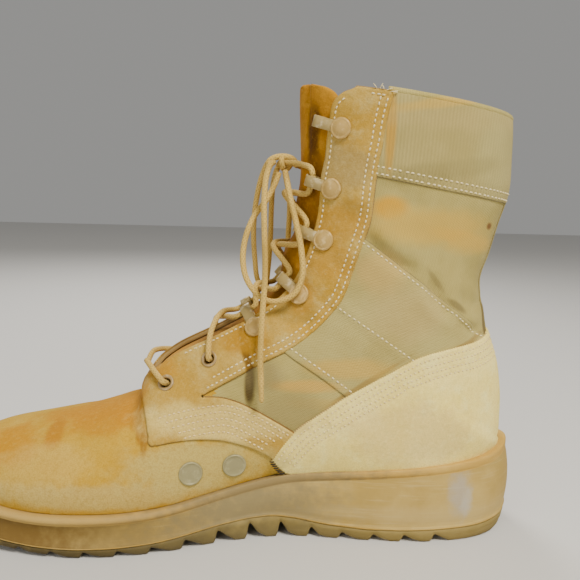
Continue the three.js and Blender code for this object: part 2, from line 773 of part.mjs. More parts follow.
function tube(points, steps, diameter = LACE_DIAMETER) {
  const path = new THREE.CatmullRomCurve3(points, false, 'centripetal');
  const section = new THREE.Shape();
  for (let k = 0; k < LACE_SIDES; k += 1) {
    const angle = (k / LACE_SIDES) * Math.PI * 2;
    const [x, y] = [Math.cos(angle) * diameter / 2, Math.sin(angle) * diameter / 2];
    if (k === 0) {
      section.moveTo(x, y);
    } else {
      section.lineTo(x, y);
    }
  }
  section.closePath();
  return new THREE.ExtrudeGeometry(section, { steps, bevelEnabled: false, extrudePath: path });
}

// Middle of the lace over an eyelet, or in a loop and `up` millimetres along the throat from it.
function stationPoint(name, index, up) {
  const local = LACING[index].kind === 'eyelet'
    ? new THREE.Vector3(0, 0, LACE_OVER_EYELET)
    : LOOP_CENTRE.clone().add(new THREE.Vector3(0, name === 'medial' ? -up : up, 0));
  return local.applyMatrix4(seats[name][index]);
}

// Lace over the ridge between two stations. Columns: station below, row where it crosses the ridge.
const CROSSINGS = [
  [1, 15.9],
  [2, 18.6],
  [3, 21.8],
  [4, 25.2],
];

// Lace lying over the throat's edge on its way up from an eyelet.
function edgePoint(name, index, row) {
  const station = LACING[index];
  const u = (locate(station.x, station.z).u + row) / 2;
  return formPoint(name === 'medial' ? 1 : -1, u, sectionAt(u).throat, LACE_OVER_EDGE);
}

function crossingGeometry([below, ridgeRow]) {
  const fromEyelet = LACING[below].kind === 'eyelet';
  const strand = (from, to, lift) => tube([
    stationPoint(from, below, LACE_END_GAP),
    ...(fromEyelet ? [edgePoint(from, below, ridgeRow)] : []),
    formPoint(1, ridgeRow, 0, LACE_OVER_RIDGE + lift),
    stationPoint(to, below + 1, -LACE_END_GAP),
  ], fromEyelet ? 8 : 6);
  const over = toManifold(strand('medial', 'lateral', LACE_HALF_CROSSING));
  const under = toManifold(strand('lateral', 'medial', -LACE_HALF_CROSSING));
  return fromManifold(over.add(under));
}

function bottomBarGeometry() {
  return tube([
    stationPoint('medial', 0, 0),
    formPoint(1, 11.25, 0.012, LACE_OVER_BAR_EDGE),
    formPoint(1, 10.95, 0, LACE_OVER_RIDGE),
    formPoint(-1, 11.25, 0.012, LACE_OVER_BAR_EDGE),
    stationPoint('lateral', 0, 0),
  ], 8);
}

// Bow: its knot lies in front of the tongue, with two loops and two ends that hang from it.
const KNOT_CENTRE = new THREE.Vector3(128, 0, 200);
const KNOT_STATION = 5;
const KNOT_LIFT = new THREE.Vector3(1.5, 0, 1.5);

// Routes of the loops and ends, from the knot onward. Columns: x, y, z.
const FREE_LACE = {
  lace_bow_near: [
    [129, 2, 198],
    [131.5, 5, 190],
    [136, 8, 181],
    [143, 12, 171],
    [147, 15, 160],
    [148, 18, 149],
    [146, 20.5, 140],
    [141, 23, 133],
    [134, 25.5, 129],
    [127, 27.5, 130],
    [121, 29, 134],
    [117.5, 29, 143],
    [118, 27, 154],
    [120, 23, 165],
    [122.5, 17.5, 176],
    [125, 11, 187],
    [127, 3, 198],
  ],
  lace_bow_far: [
    [130, -1, 200],
    [134.5, -3, 201],
    [138.5, -9, 194],
    [142, -15, 178],
    [143, -19, 162],
    [142, -21.5, 146],
    [140, -23.5, 133],
    [135, -25.5, 126],
    [129, -27, 127],
    [125, -28, 136],
    [123, -28, 150],
    [122.5, -25.5, 164],
    [122.5, -20, 177],
    [124, -12, 188],
    [127, -2, 198],
  ],
  lace_end_near: [
    [129, 1, 200],
    [133.5, 5, 200],
    [136.5, 11, 193],
    [137.5, 17, 181],
    [137, 23, 162],
    [136.5, 26, 150],
    [136.5, 29, 139],
    [137.5, 32, 122],
    [138, 36, 101],
    [137.5, 38, 90],
    [137, 38.5, 79],
  ],
  lace_end_far: [
    [129, -2, 200],
    [131, -9, 196],
    [132.5, -16, 188],
    [133, -23, 175],
    [133, -28, 160],
    [133.5, -31, 146],
    [134.5, -33.5, 131],
    [135.5, -37, 115],
    [136, -40.5, 99],
    [136, -42.5, 86],
  ],
};

const knotBall = (radius) => {
  const ball = new THREE.SphereGeometry(radius, 10, 7);
  ball.translate(KNOT_CENTRE.x, KNOT_CENTRE.y, KNOT_CENTRE.z);
  return toManifold(ball);
};

function knotGeometry() {
  const ties = SIDES.map(([name]) => toManifold(tube([
    stationPoint(name, KNOT_STATION, LACE_END_GAP),
    stationPoint(name, KNOT_STATION, LACE_END_GAP + 4).lerp(KNOT_CENTRE, 0.4).add(KNOT_LIFT),
    KNOT_CENTRE,
  ], 5)));
  return fromManifold(knotBall(KNOT_RADIUS).add(ties[0]).add(ties[1]));
}

function freeLaceGeometry(route) {
  const points = route.map(([x, y, z]) => new THREE.Vector3(x, y, z));
  const cord = toManifold(tube(points, Math.round(1.25 * route.length)));
  return fromManifold(cord.subtract(knotBall(KNOT_RADIUS + 2 * CLEARANCE)));
}

// ---------------------------------------------------------------------------
// Assembly
// ---------------------------------------------------------------------------

const boot = new THREE.Group();
boot.position.x = -HEEL_REST_X;

function addPart(name, geometry, color, roughness, metalness = 0) {
  geometry.computeVertexNormals();
  const material = new THREE.MeshStandardMaterial({ color, roughness, metalness });
  const mesh = new THREE.Mesh(geometry, material);
  mesh.name = name;
  boot.add(mesh);
}

function pierceEyelets(geometry) {
  let solid = toManifold(geometry);
  const cutter = new THREE.CylinderGeometry(EYELET_HOLE, EYELET_HOLE, 12, 12);
  cutter.rotateX(Math.PI / 2);
  for (const [name] of SIDES) {
    LACING.forEach((station, i) => {
      if (station.kind === 'eyelet') {
        solid = solid.subtract(toManifold(placed(cutter, seats[name][i])));
      }
    });
  }
  return fromManifold(solid);
}

addPart('outsole', outsoleGeometry(), 0x9c8246, 0.8);
addPart('midsole', midsoleGeometry(), 0xb08a50, 0.75);
addPart('insole', insoleGeometry(), 0x6b5a3c, 0.95);
addPart('upper', pierceEyelets(upperGeometry()), 0xc9a25a, 0.95);
addPart('tongue', tongueGeometry(), 0xa9712c, 0.95);
addPart('heel_counter', counterGeometry(), 0xd2b273, 0.95);

for (const [name] of SIDES) {
  LACING.forEach((station, i) => {
    const geometry = station.kind === 'eyelet' ? eyeletGeometry() : laceLoopGeometry();
    addPart(`${station.kind}_${name}_${i + 1}`, placed(geometry, seats[name][i]), 0xbfa878, 0.5, 0.3);
  });
}

// Drain vents on the medial side. Columns: x, z in side view.
const VENTS = [[172.8, 40.2], [150.6, 42.6]];
VENTS.forEach(([x, z], i) => {
  const place = locate(x, z);
  const disc = turned([[0, 0.6], [VENT_RADIUS, 0.6], [VENT_RADIUS - 0.4, 1.5], [0, 1.7]], 12);
  addPart(`drain_vent_${i + 1}`, placed(disc, seat(1, place.u, place.tau)), 0x9a9266, 0.6, 0.2);
});

addPart('lace_bar', bottomBarGeometry(), 0xc2a86a, 0.9);
CROSSINGS.forEach((crossing, i) => {
  addPart(`lace_crossing_${i + 1}`, crossingGeometry(crossing), 0xc2a86a, 0.9);
});
addPart('lace_knot', knotGeometry(), 0xc2a86a, 0.9);
for (const [name, route] of Object.entries(FREE_LACE)) {
  addPart(name, freeLaceGeometry(route), 0xc2a86a, 0.9);
}

export default boot;
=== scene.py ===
"""Combat boot for the right foot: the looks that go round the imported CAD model.

The tables are in millimetres. They measure x from the back of the heel, as the CAD source does, and
to_scene() moves them into the shared frame, in metres.
"""

import math

import bmesh
import bpy
import numpy as np
from mathutils import Matrix, Vector
from mathutils.geometry import delaunay_2d_cdt


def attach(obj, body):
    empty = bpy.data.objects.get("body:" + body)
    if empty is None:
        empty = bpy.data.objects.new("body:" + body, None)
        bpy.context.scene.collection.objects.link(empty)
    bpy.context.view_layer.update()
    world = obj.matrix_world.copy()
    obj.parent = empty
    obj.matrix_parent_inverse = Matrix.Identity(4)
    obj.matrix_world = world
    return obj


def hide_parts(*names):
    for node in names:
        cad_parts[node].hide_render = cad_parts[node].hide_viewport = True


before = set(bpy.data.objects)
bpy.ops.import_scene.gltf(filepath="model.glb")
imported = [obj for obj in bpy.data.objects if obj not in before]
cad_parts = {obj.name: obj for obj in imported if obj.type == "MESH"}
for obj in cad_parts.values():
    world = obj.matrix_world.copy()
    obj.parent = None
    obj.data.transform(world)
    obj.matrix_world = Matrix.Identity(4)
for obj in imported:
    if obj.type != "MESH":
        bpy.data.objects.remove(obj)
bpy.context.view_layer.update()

MM = 0.001
WELD = 0.01
HEEL_REST_X = 24.0
CLEARANCE = 0.3


def to_scene(points):
    """Millimetres from the back of the heel to metres in the shared frame."""
    return (np.asarray(points, float) - (HEEL_REST_X, 0.0, 0.0)) * MM


# ---------------------------------------------------------------------------
# Camera, light and floor
# ---------------------------------------------------------------------------

CAMERA_AT = (0.11606, 0.34553, 0.18414)
CAMERA_YAW = math.radians(-2.977)
CAMERA_PITCH = math.radians(8.712)
CAMERA_ROLL = math.radians(1.526)
CAMERA_LENS = 39.11
SENSOR_WIDTH = 36.0
NEAREST_SEEN = 0.01

# Columns: name, place, size, watts, colour.
LIGHTS = [
    ("key", (-0.30, 0.80, 1.25), 0.5, 28.4, (1.0, 0.95, 0.85)),
    ("fill", (0.80, 0.85, 0.45), 0.9, 4.0, (1.0, 0.98, 0.95)),
    ("rim", (0.30, -0.9, 0.9), 0.6, 9.0, (1.0, 0.97, 0.92)),
]
LIT_MIDDLE = (0.12, 0.0, 0.10)
SKY_COLOUR = (0.88, 0.87, 0.84, 1)
SKY_STRENGTH = 0.35
FLOOR_SIZE = 6.0
FLOOR_COLOUR = (0.62, 0.61, 0.59, 1)
FLOOR_ROUGHNESS = 0.85


def add_camera():
    level = Vector((math.sin(CAMERA_YAW), -math.cos(CAMERA_YAW), 0.0))
    ahead = level * math.cos(CAMERA_PITCH) - Vector((0, 0, math.sin(CAMERA_PITCH)))
    right = Vector((-math.cos(CAMERA_YAW), -math.sin(CAMERA_YAW), 0.0))
    up = right.cross(ahead)
    rolled_right = right * math.cos(CAMERA_ROLL) + up * math.sin(CAMERA_ROLL)
    rolled_up = up * math.cos(CAMERA_ROLL) - right * math.sin(CAMERA_ROLL)
    data = bpy.data.cameras.new("camera")
    data.lens = CAMERA_LENS
    data.sensor_width = SENSOR_WIDTH
    data.clip_start = NEAREST_SEEN
    camera = bpy.data.objects.new("camera", data)
    turn = Matrix((rolled_right, rolled_up, -ahead)).transposed().to_4x4()
    camera.matrix_world = Matrix.Translation(CAMERA_AT) @ turn
    bpy.context.collection.objects.link(camera)
    bpy.context.scene.camera = camera


def add_light(name, at, size, watts, colour):
    data = bpy.data.lights.new(name, "AREA")
    data.shape = "DISK"
    data.size = size
    data.energy = watts
    data.color = colour
    light = bpy.data.objects.new(name, data)
    light.location = at
    light.rotation_euler = (Vector(LIT_MIDDLE) - Vector(at)).to_track_quat("-Z", "Y").to_euler()
    bpy.context.collection.objects.link(light)


def add_studio():
    world = bpy.data.worlds.new("studio")
    world.use_nodes = True
    sky = world.node_tree.nodes["Background"]
    sky.inputs["Color"].default_value = SKY_COLOUR
    sky.inputs["Strength"].default_value = SKY_STRENGTH
    bpy.context.scene.world = world
    for light in LIGHTS:
        add_light(*light)

    mesh = bpy.data.meshes.new("floor")
    s = FLOOR_SIZE / 2
    mesh.from_pydata([(-s, -s, 0), (s, -s, 0), (s, s, 0), (-s, s, 0)], [], [(0, 1, 2, 3)])
    floor = bpy.data.objects.new("floor", mesh)
    bpy.context.collection.objects.link(floor)
    paper = bpy.data.materials.new("floor_paper")
    paper.use_nodes = True
    shader = paper.node_tree.nodes["Principled BSDF"]
    shader.inputs["Base Color"].default_value = FLOOR_COLOUR
    shader.inputs["Roughness"].default_value = FLOOR_ROUGHNESS
    mesh.materials.append(paper)


# ---------------------------------------------------------------------------
# Numeric helpers
# ---------------------------------------------------------------------------


def blend_rows(rows, u, closed=False):
    """Uniform Catmull-Rom blend of table rows; u counts rows."""
    rows = np.asarray(rows, float)
    u = np.asarray(u, float)
    count = len(rows)
    last = count if closed else count - 1
    first = np.clip(np.floor(u).astype(int), 0, last - 1)
    t = (u - first)[..., None]

    def pick(i):
        return rows[i % count if closed else np.clip(i, 0, count - 1)]

    a, b, c, d = pick(first - 1), pick(first), pick(first + 1), pick(first + 2)
    slope_in = (c - a) / 2
    slope_out = (d - b) / 2
    rise = c - b
    cubic = slope_in + slope_out - 2 * rise
    square = 3 * rise - 2 * slope_in - slope_out
    return b + t * (slope_in + t * (square + t * cubic))


def unit(vectors):
    size = np.linalg.norm(vectors, axis=-1, keepdims=True)
    return vectors / np.maximum(size, 1e-12)


def smoothstep(low, high, value):
    t = np.clip((value - low) / (high - low), 0, 1)
    return t * t * (3 - 2 * t)


def centripetal(points, per_span=14):
    """Points of a centripetal Catmull-Rom curve through a few given ones."""
    p = np.asarray(points, float)
    p = np.vstack([2 * p[0] - p[1], p, 2 * p[-1] - p[-2]])
    out = []
    for i in range(1, len(p) - 2):
        p0, p1, p2, p3 = p[i - 1:i + 3]
        gap = [max(np.linalg.norm(b - a) ** 0.5, 1e-4) for a, b in ((p0, p1), (p1, p2), (p2, p3))]
        m1 = ((p1 - p0) / gap[0] - (p2 - p0) / (gap[0] + gap[1]) + (p2 - p1) / gap[1]) * gap[1]
        m2 = ((p2 - p1) / gap[1] - (p3 - p1) / (gap[1] + gap[2]) + (p3 - p2) / gap[2]) * gap[1]
        t = np.linspace(0, 1, per_span, endpoint=False)[:, None]
        h = (2 * t**3 - 3 * t**2 + 1, t**3 - 2 * t**2 + t, -2 * t**3 + 3 * t**2, t**3 - t**2)
        out.append(h[0] * p1 + h[1] * m1 + h[2] * p2 + h[3] * m2)
    out.append(p[-2][None])
    return np.vstack(out)


def walk(points):
    """Distance walked along a line at each of its points."""
    return np.concatenate([[0], np.cumsum(np.linalg.norm(np.diff(points, axis=0), axis=1))])


def sample(at, walked, values):
    """Rows of values at places along a line; walked holds the places of the rows given."""
    return np.stack([np.interp(at, walked, column) for column in values.T], 1)


def resample(points, step):
    """The same line with points one step apart."""
    points = np.asarray(points, float)
    walked = walk(points)
    count = max(int(round(walked[-1] / step)), 1)
    return sample(np.linspace(0, walked[-1], count + 1), walked, points)


def length_of(points):
    return float(np.linalg.norm(np.diff(np.asarray(points), axis=0), axis=1).sum())


def smoothed(x, values, width, step=0.5):
    """Values of a function of x with its corners eased over width millimetres."""
    fine = np.arange(-20, 330, step)
    reach = int(3 * width / step)
    weights = np.exp(-0.5 * (np.arange(-reach, reach + 1) * step / width) ** 2)
    padded = np.pad(values(fine), reach, mode="edge")
    return np.interp(x, fine, np.convolve(padded, weights / weights.sum(), mode="valid"))


# ---------------------------------------------------------------------------
# Sole: outline and heights
# ---------------------------------------------------------------------------

# Columns: x on the medial side, medial y, x on the lateral side, lateral y.
OUTLINE = [
    (-5.6, 0, -5.6, 0), (2, 17.5, 2, -17.5), (18, 29, 18, -29.5), (43, 34, 43, -35.5),
    (72, 33.2, 75, -36.8), (100, 30, 105, -38.5), (125, 28.6, 134, -42.5),
    (155, 34, 162, -48.5), (184, 43, 190, -54), (209, 47.6, 214, -56.5),
    (232, 48.6, 236, -55.5), (253, 46, 256, -51), (272, 41, 274, -44),
    (288, 33.5, 289, -34.5), (300.5, 23, 301, -22.5), (307.6, 11.5, 307.6, -9.5),
    (310, 1, 310, 1),
]

# Columns: x, underside of the tread, top of the outsole, rim of the midsole.
SOLE_HEIGHTS = np.array([
    (-9, 10.2, 11.2, 50.4), (-4, 3.6, 10.0, 49.2), (1, 0.9, 9.3, 48.0), (7, 0, 8.9, 46.8),
    (20, 0, 8.2, 45.2), (40, 0, 7.8, 43.1), (60, 0, 7.1, 41.2), (80, 0, 7.0, 39.3),
    (100, 0, 8.4, 37.6), (118, 0, 11.5, 36.1), (130, 0, 13.3, 34.3), (143, 0, 12.8, 31.8),
    (158, 0, 10.8, 28.5), (175, 0, 8.2, 25.2), (190, 0, 6.2, 23.0), (208, 0, 5.2, 22.0),
    (230, 0, 5.1, 21.8), (250, 1.6, 5.8, 21.8), (265, 3.0, 7.2, 22.8), (280, 4.8, 9.0, 25.0),
    (295, 7.2, 11.4, 27.8), (312, 10.6, 14.8, 31.2),
])

FEATHER_INSET = 3.2
HEEL_FEATHER_INSET = 6.0
RIB_PITCH = 16.6
FIRST_NOTCH_X = 42.7
RIB_REAR_SLOPE = 1.4
RIB_FLAT = 7.0
NOTCH_Z = [4.2, 3.8, 3.5, 3.6, 5.7, 8.7, 9.2, 7.0, 4.8, 3.5, 3.2, 3.2, 3.4, 4.2, 5.8, 7.8]

OUTLINE_LOOP = [row[:2] for row in OUTLINE] + [row[2:] for row in OUTLINE[-2:0:-1]]
TOE_TURN = len(OUTLINE) - 1


def sole_height(column, x):
    return np.interp(x, SOLE_HEIGHTS[:, 0], SOLE_HEIGHTS[:, column])


def ground_z(x):
    return sole_height(1, x)


def tread_z(x):
    return sole_height(2, x)


def rim_z(x):
    return sole_height(3, x)


def outline(turn, grow):
    """Plan points of the sole's outline; turn runs once round the loop from the heel."""
    count = len(OUTLINE_LOOP)
    at = blend_rows(OUTLINE_LOOP, np.mod(turn, count), True)
    ahead = blend_rows(OUTLINE_LOOP, np.mod(turn + 0.05, count), True)
    behind = blend_rows(OUTLINE_LOOP, np.mod(turn - 0.05, count), True)
    along = unit(ahead - behind)
    return at + np.asarray(grow)[..., None] * np.stack([-along[..., 1], along[..., 0]], -1)


def outline_x(turn):
    return outline(turn, np.zeros(len(turn)))[:, 0]


def feather_inset(x):
    """How far the upper stands in from the edge of the sole: further at the heel."""
    return HEEL_FEATHER_INSET + (FEATHER_INSET - HEEL_FEATHER_INSET) * smoothstep(5, 60, x)


def half_width(side, x, grow):
    """Half width of the outline at x, grown outward; grow None gives the feather line."""
    turn = np.linspace(0, TOE_TURN, 400) * side
    if grow is None:
        grow = -feather_inset(outline_x(turn))
    points = outline(turn, np.broadcast_to(grow, turn.shape))
    rising = np.maximum.accumulate(points[:, 0] + np.arange(len(turn)) * 1e-6)
    return np.interp(x, rising, np.abs(points[:, 1]))


# ---------------------------------------------------------------------------
# Form of the upper, from the same sections as the CAD
# ---------------------------------------------------------------------------

# Columns: frontX, frontZ, backX, backZ, ridgeY, medial swell, lateral swell, belly, crown,
# tail power, tail root, throat opening.
SECTIONS = [
    (306.4, 34.0, 306.4, None, 2, 0.8, 0.8, 0.6, 2.2, 2, 1, 0),
    (303.6, 40.6, 303.6, None, 2.5, 1.2, 1.2, 0.66, 2.2, 2, 1, 0),
    (298, 46.4, 298, None, 3, 1.5, 1.5, 0.70, 2.2, 2, 1, 0),
    (290, 50.2, 290, None, 4, 1.6, 1.6, 0.72, 2.2, 2, 1, 0),
    (279, 53.5, 279, None, 5, 1.6, 1.6, 0.74, 2.2, 2, 1, 0),
    (262, 56.4, 262, None, 5, 1.6, 1.6, 0.75, 2.15, 2, 1, 0),
    (242, 60.2, 242, None, 4.5, 1.6, 1.8, 0.76, 2.1, 2, 1, 0),
    (222, 65.1, 222, None, 3.5, 1.6, 2.0, 0.76, 2.05, 2, 1, 0),
    (208, 70.2, 208, None, 2, 1.8, 2.2, 0.76, 2.05, 2, 1, 0),
    (203, 74.4, 196, None, 1, 2.0, 2.4, 0.76, 2.1, 2, 1, 0),
    (200, 81.6, 182, None, 0.5, 2.4, 2.6, 0.75, 2.2, 2, 1, 0),
    (196.6, 89.0, 166, None, 0, 3.2, 2.8, 0.74, 2.35, 2, 1, 0.028),
    (192.0, 93.6, 148, None, 0, 4.6, 3.0, 0.72, 2.5, 2, 1, 0.034),
    (185.4, 98.4, 128, None, 0, 6.0, 3.2, 0.70, 2.6, 2, 1, 0.032),
    (176, 103.6, 104, None, 0, 5.4, 2.8, 0.68, 2.65, 2, 1, 0.030),
    (166, 108.8, 80, None, 0, 4.2, 2.6, 0.66, 2.7, 2, 1, 0.030),
    (156, 114.6, 58, None, 0, 3.8, 2.6, 0.64, 2.7, 2.2, 1, 0.030),
    (147, 120.5, 38, None, 0, 5.2, 4.2, 0.60, 2.65, 2.8, 1, 0.033),
    (140, 127.0, 22, None, 0, 9.8, 9.4, 0.56, 2.55, 3.6, 1, 0.040),
    (135.3, 133.6, 10, None, 0, 17.0, 17.0, 0.53, 2.4, 4.4, 1, 0.050),
    (132.0, 140.8, 3, None, 0, 26.1, 26.2, 0.51, 2.3, 4.8, 1, 0.062),
    (129.2, 148.6, 2.6, 50.5, 0, 33.8, 34.0, 0.50, 2.2, 2.3, 0.47, 0.074),
    (126.9, 156.9, 2.3, 62, 0, 33.4, 34.0, 0.50, 2.15, 2.3, 0.47, 0.085),
    (125, 165.2, 3.0, 76, 0, 33.0, 33.4, 0.49, 2.1, 2.3, 0.47, 0.093),
    (123.3, 173.6, 6.1, 93.5, 0, 32.4, 32.6, 0.48, 2.05, 2.3, 0.47, 0.10),
    (122, 182.2, 11.9, 110, 0, 32.0, 32.0, 0.48, 2.0, 2.3, 0.46, 0.11),
    (121.3, 191, 15.4, 125.5, 0, 32.0, 32.0, 0.48, 2.0, 2.4, 0.45, 0.115),
    (121.2, 200, 18.2, 140, 0, 32.4, 32.4, 0.48, 2.0, 2.4, 0.44, 0.12),
    (121.4, 209, 14.3, 155, 0, 33.2, 33.2, 0.49, 2.0, 2.4, 0.43, 0.13),
    (121.8, 218, 10.5, 171, 0, 34.0, 34.0, 0.49, 2.0, 2.4, 0.42, 0.135),
    (122.3, 226.4, 6.2, 187, 0, 34.8, 34.8, 0.49, 2.0, 2.4, 0.42, 0.14),
    (122.7, 233.4, 6.2, 205, 0, 35.4, 35.4, 0.49, 2.0, 2.4, 0.42, 0.155),
    (122.9, 237.8, 6.6, 217, 0, 35.8, 35.8, 0.49, 2.0, 2.4, 0.42, 0.195),
    (123, 240.5, 7.2, 225, 0, 36.0, 36.0, 0.49, 2.0, 2.4, 0.42, 0.25),
    (123.3, 247, 7.7, 235, 0, 36.2, 36.2, 0.49, 2.0, 2.4, 0.42, 0.25),
]
FRONT_X, FRONT_Z, BACK_X, BACK_Z, RIDGE_Y, SWELL_M, SWELL_L = range(7)
BELLY, CROWN, POWER, ROOT, THROAT, END_M, END_L = range(7, 14)

COLLAR_ROW = len(SECTIONS) - 2
FIRST_BACK_ROW = [row[BACK_Z] is not None for row in SECTIONS].index(True)
UPPER_WALL = 2.2


def filled_sections():
    """The sections with the feather line filled in: its height and both end half widths."""
    rows = []
    for row in SECTIONS:
        on_feather = row[BACK_Z] is None
        back_z = rim_z(row[BACK_X]) + CLEARANCE if on_feather else row[BACK_Z]
        ends = [half_width(side, row[BACK_X], None) if on_feather else 0.0
                for side in (1, -1)]
        rows.append([*row[:BACK_Z], back_z, *row[BACK_Z + 1:], *ends])
    return np.array(rows, float)


SECTION_ROWS = filled_sections()


def section_at(u):
    """Columns of the section at each row u."""
    return np.moveaxis(blend_rows(SECTION_ROWS, u), -1, 0)


def reach_of(side, s, tau):
    """Distance of the last from its middle plane, from the columns of its section."""
    end = np.maximum(np.where(side > 0, s[END_M], s[END_L]), 0)
    wide = end + np.where(side > 0, s[SWELL_M], s[SWELL_L])
    ridge = side * s[RIDGE_Y]
    rise = np.clip(1 - tau / s[BELLY], 0, 1)
    front = ridge + (wide - ridge) * np.maximum(1 - rise ** s[CROWN], 0) ** (1 / s[CROWN])
    share = np.clip((tau - s[BELLY]) / (1 - s[BELLY]), 0, 1)
    back = end + (wide - end) * np.maximum(1 - share ** s[POWER], 0) ** s[ROOT]
    return np.where(tau < s[BELLY], front, back)


# The rows either side of the heel's corner are eased into each other. Columns: rows away, weight.
HEEL_CORNER_ROW = 20.9
HEEL_CORNER_REACH = 1.9
HEEL_CORNER_BLEND = ((-1.3, 0.15), (-0.65, 0.22), (0, 0.26), (0.65, 0.22), (1.3, 0.15))


def last_point(side, u, tau):
    """Point of the last; tau runs from 0 on the ridge to 1 on the feather or back line."""
    side, u, tau = np.broadcast_arrays(np.asarray(side, float), u, tau)
    s = section_at(u)
    reach = reach_of(side, s, tau)
    near = (np.exp(-((u - HEEL_CORNER_ROW) / HEEL_CORNER_REACH) ** 2) * smoothstep(0.35, 0.6, tau)
            * (1 - smoothstep(0.90, 1.0, tau)))
    if near.max() > 0.01:
        eased = 0
        for shift, weight in HEEL_CORNER_BLEND:
            beside = section_at(np.clip(u + shift, 0, len(SECTIONS) - 1))
            eased = eased + weight * reach_of(side, beside, tau)
        reach = reach + (eased - reach) * near
    return np.stack([
        s[FRONT_X] + (s[BACK_X] - s[FRONT_X]) * tau,
        side * reach,
        s[FRONT_Z] + (s[BACK_Z] - s[FRONT_Z]) * tau,
    ], -1)


def raw_normal(side, u, tau):
    du, dt, top = 0.12, 0.012, len(SECTIONS) - 1
    along = (last_point(side, np.minimum(u + du, top), tau)
             - last_point(side, np.maximum(u - du, 0), tau))
    across = (last_point(side, u, np.minimum(tau + dt, 1))
              - last_point(side, u, np.maximum(tau - dt, 0)))
    return unit(np.cross(across, along) * np.asarray(side, float)[..., None])


def last_normal(side, u, tau):
    side, u, tau = (np.array(v, float) for v in np.broadcast_arrays(side, u, tau))
    n = raw_normal(side, u, tau)
    other = raw_normal(-side, u, tau)
    closed_back = (tau > 0.9999) & (u > FIRST_BACK_ROW - 0.01)
    return np.where(((tau < 1e-4) | closed_back)[..., None], unit(n + other), n)


def throat(u):
    """Half opening of the throat, as tau."""
    return np.maximum(section_at(u)[THROAT], 0)


def locate(x, z):
    """Row and tau of the section plane through points of the side view."""
    x, z = np.broadcast_arrays(np.asarray(x, float), np.asarray(z, float))

    def off_line(u):
        s = section_at(u)
        return ((x - s[FRONT_X]) * (s[BACK_Z] - s[FRONT_Z])
                - (z - s[FRONT_Z]) * (s[BACK_X] - s[FRONT_X]))

    low = np.zeros(x.shape)
    high = np.full(x.shape, float(len(SECTIONS) - 1))
    start = np.sign(off_line(low))
    for _ in range(36):
        middle = (low + high) / 2
        same = np.sign(off_line(middle)) == start
        low = np.where(same, middle, low)
        high = np.where(same, high, middle)
    s = section_at(low)
    run, fall = s[BACK_X] - s[FRONT_X], s[BACK_Z] - s[FRONT_Z]
    tau = ((x - s[FRONT_X]) * run + (z - s[FRONT_Z]) * fall) / (run**2 + fall**2)
    return low, np.clip(tau, 0, 1)


# Troughs and ridges pressed into both sides of the upper, in side view. Columns: x and z of the two
# ends, half width, height (minus for a trough).
CREASES = [
    (86, 164, 60, 146, 3.8, -2.2),
    (84, 173, 60, 155, 6.0, 1.4),
    (52, 142, 37, 122, 3.6, -3.0),
    (58, 136, 42, 118, 4.5, 1.2),
    (36, 122, 20, 113, 3.2, -2.8),
    (34, 134, 18, 127, 4.5, -1.8),
    (40, 128, 24, 118, 4.0, 1.6),
    (74, 192, 60, 178, 6.0, -1.2),
    (100, 178, 84, 174, 5.0, -1.1),
    (104, 150, 90, 146, 5.0, -1.0),
    (128, 118, 112, 122, 6.0, -1.0),
    (118, 150, 100, 140, 7.0, 0.8),
    (205, 72, 200, 54, 5.0, -1.2),
    (214, 64, 208, 48, 8.0, 0.8),
    (236, 62, 222, 44, 7.0, -0.6),
    (180, 92, 172, 82, 6.0, -0.8),
    (160, 106, 150, 92, 7.0, 0.8),
    (150, 98, 136, 104, 6.0, -0.7),
    (120, 92, 100, 88, 7.0, -0.9),
    (60, 205, 20, 196, 8.0, 0.7),
]


def relief(x, z):
    """How far the creases lift the surface."""
    lift = np.zeros(np.shape(x))
    for x0, z0, x1, z1, wide, height in CREASES:
        run = np.hypot(x1 - x0, z1 - z0)
        ax, az = (x1 - x0) / run, (z1 - z0) / run
        along = ((x - x0) * ax + (z - z0) * az) / run
        across = ((x - x0) * -az + (z - z0) * ax) / wide
        bend = 0.35 * np.sin(along * math.pi) * run / wide * 0.25
        ends = smoothstep(-0.18, 0.25, along) * smoothstep(-0.18, 0.25, 1 - along)
        lift = lift + height * np.exp(-(across - bend) ** 2) * ends
    return lift


def surface(side, u, tau, grow):
    """Point of the upper with its creases, grown along the normal."""
    at = last_point(side, u, tau)
    rise = np.asarray(grow, float) + relief(at[..., 0], at[..., 2])
    return at + last_normal(side, u, tau) * rise[..., None]


# Lengths over the last, for weaves and stitches: along each section, and along the rows.
LENGTH_U = np.linspace(0, len(SECTIONS) - 1, 137)
LENGTH_TAU = np.linspace(0, 1, 161)


def measured_lengths():
    u, tau = np.meshgrid(LENGTH_U, LENGTH_TAU, indexing="ij")
    p = last_point(1, u, tau)
    steps = np.linalg.norm(np.diff(p, axis=1), axis=2)
    over = np.concatenate([np.zeros((len(LENGTH_U), 1)), np.cumsum(steps, axis=1)], axis=1)
    return over, walk(p[:, len(LENGTH_TAU) // 2])


OVER, ROWS_LENGTH = measured_lengths()


def cloth_lengths(side, u, tau):
    """Millimetres over the section from the ridge (minus on the lateral side), and along the rows."""
    i = np.clip(np.asarray(u) / LENGTH_U[1], 0, len(LENGTH_U) - 1.001)
    j = np.clip(np.asarray(tau) / LENGTH_TAU[1], 0, len(LENGTH_TAU) - 1.001)
    i0, j0 = i.astype(int), j.astype(int)
    fi, fj = i - i0, j - j0
    over = ((OVER[i0, j0] * (1 - fj) + OVER[i0, j0 + 1] * fj) * (1 - fi)
            + (OVER[i0 + 1, j0] * (1 - fj) + OVER[i0 + 1, j0 + 1] * fj) * fi)
    return over * side, np.interp(u, LENGTH_U, ROWS_LENGTH)


def spread(q):
    return (1 - np.cos(math.pi * np.asarray(q, float))) / 2


# ---------------------------------------------------------------------------
# Meshes
# ---------------------------------------------------------------------------


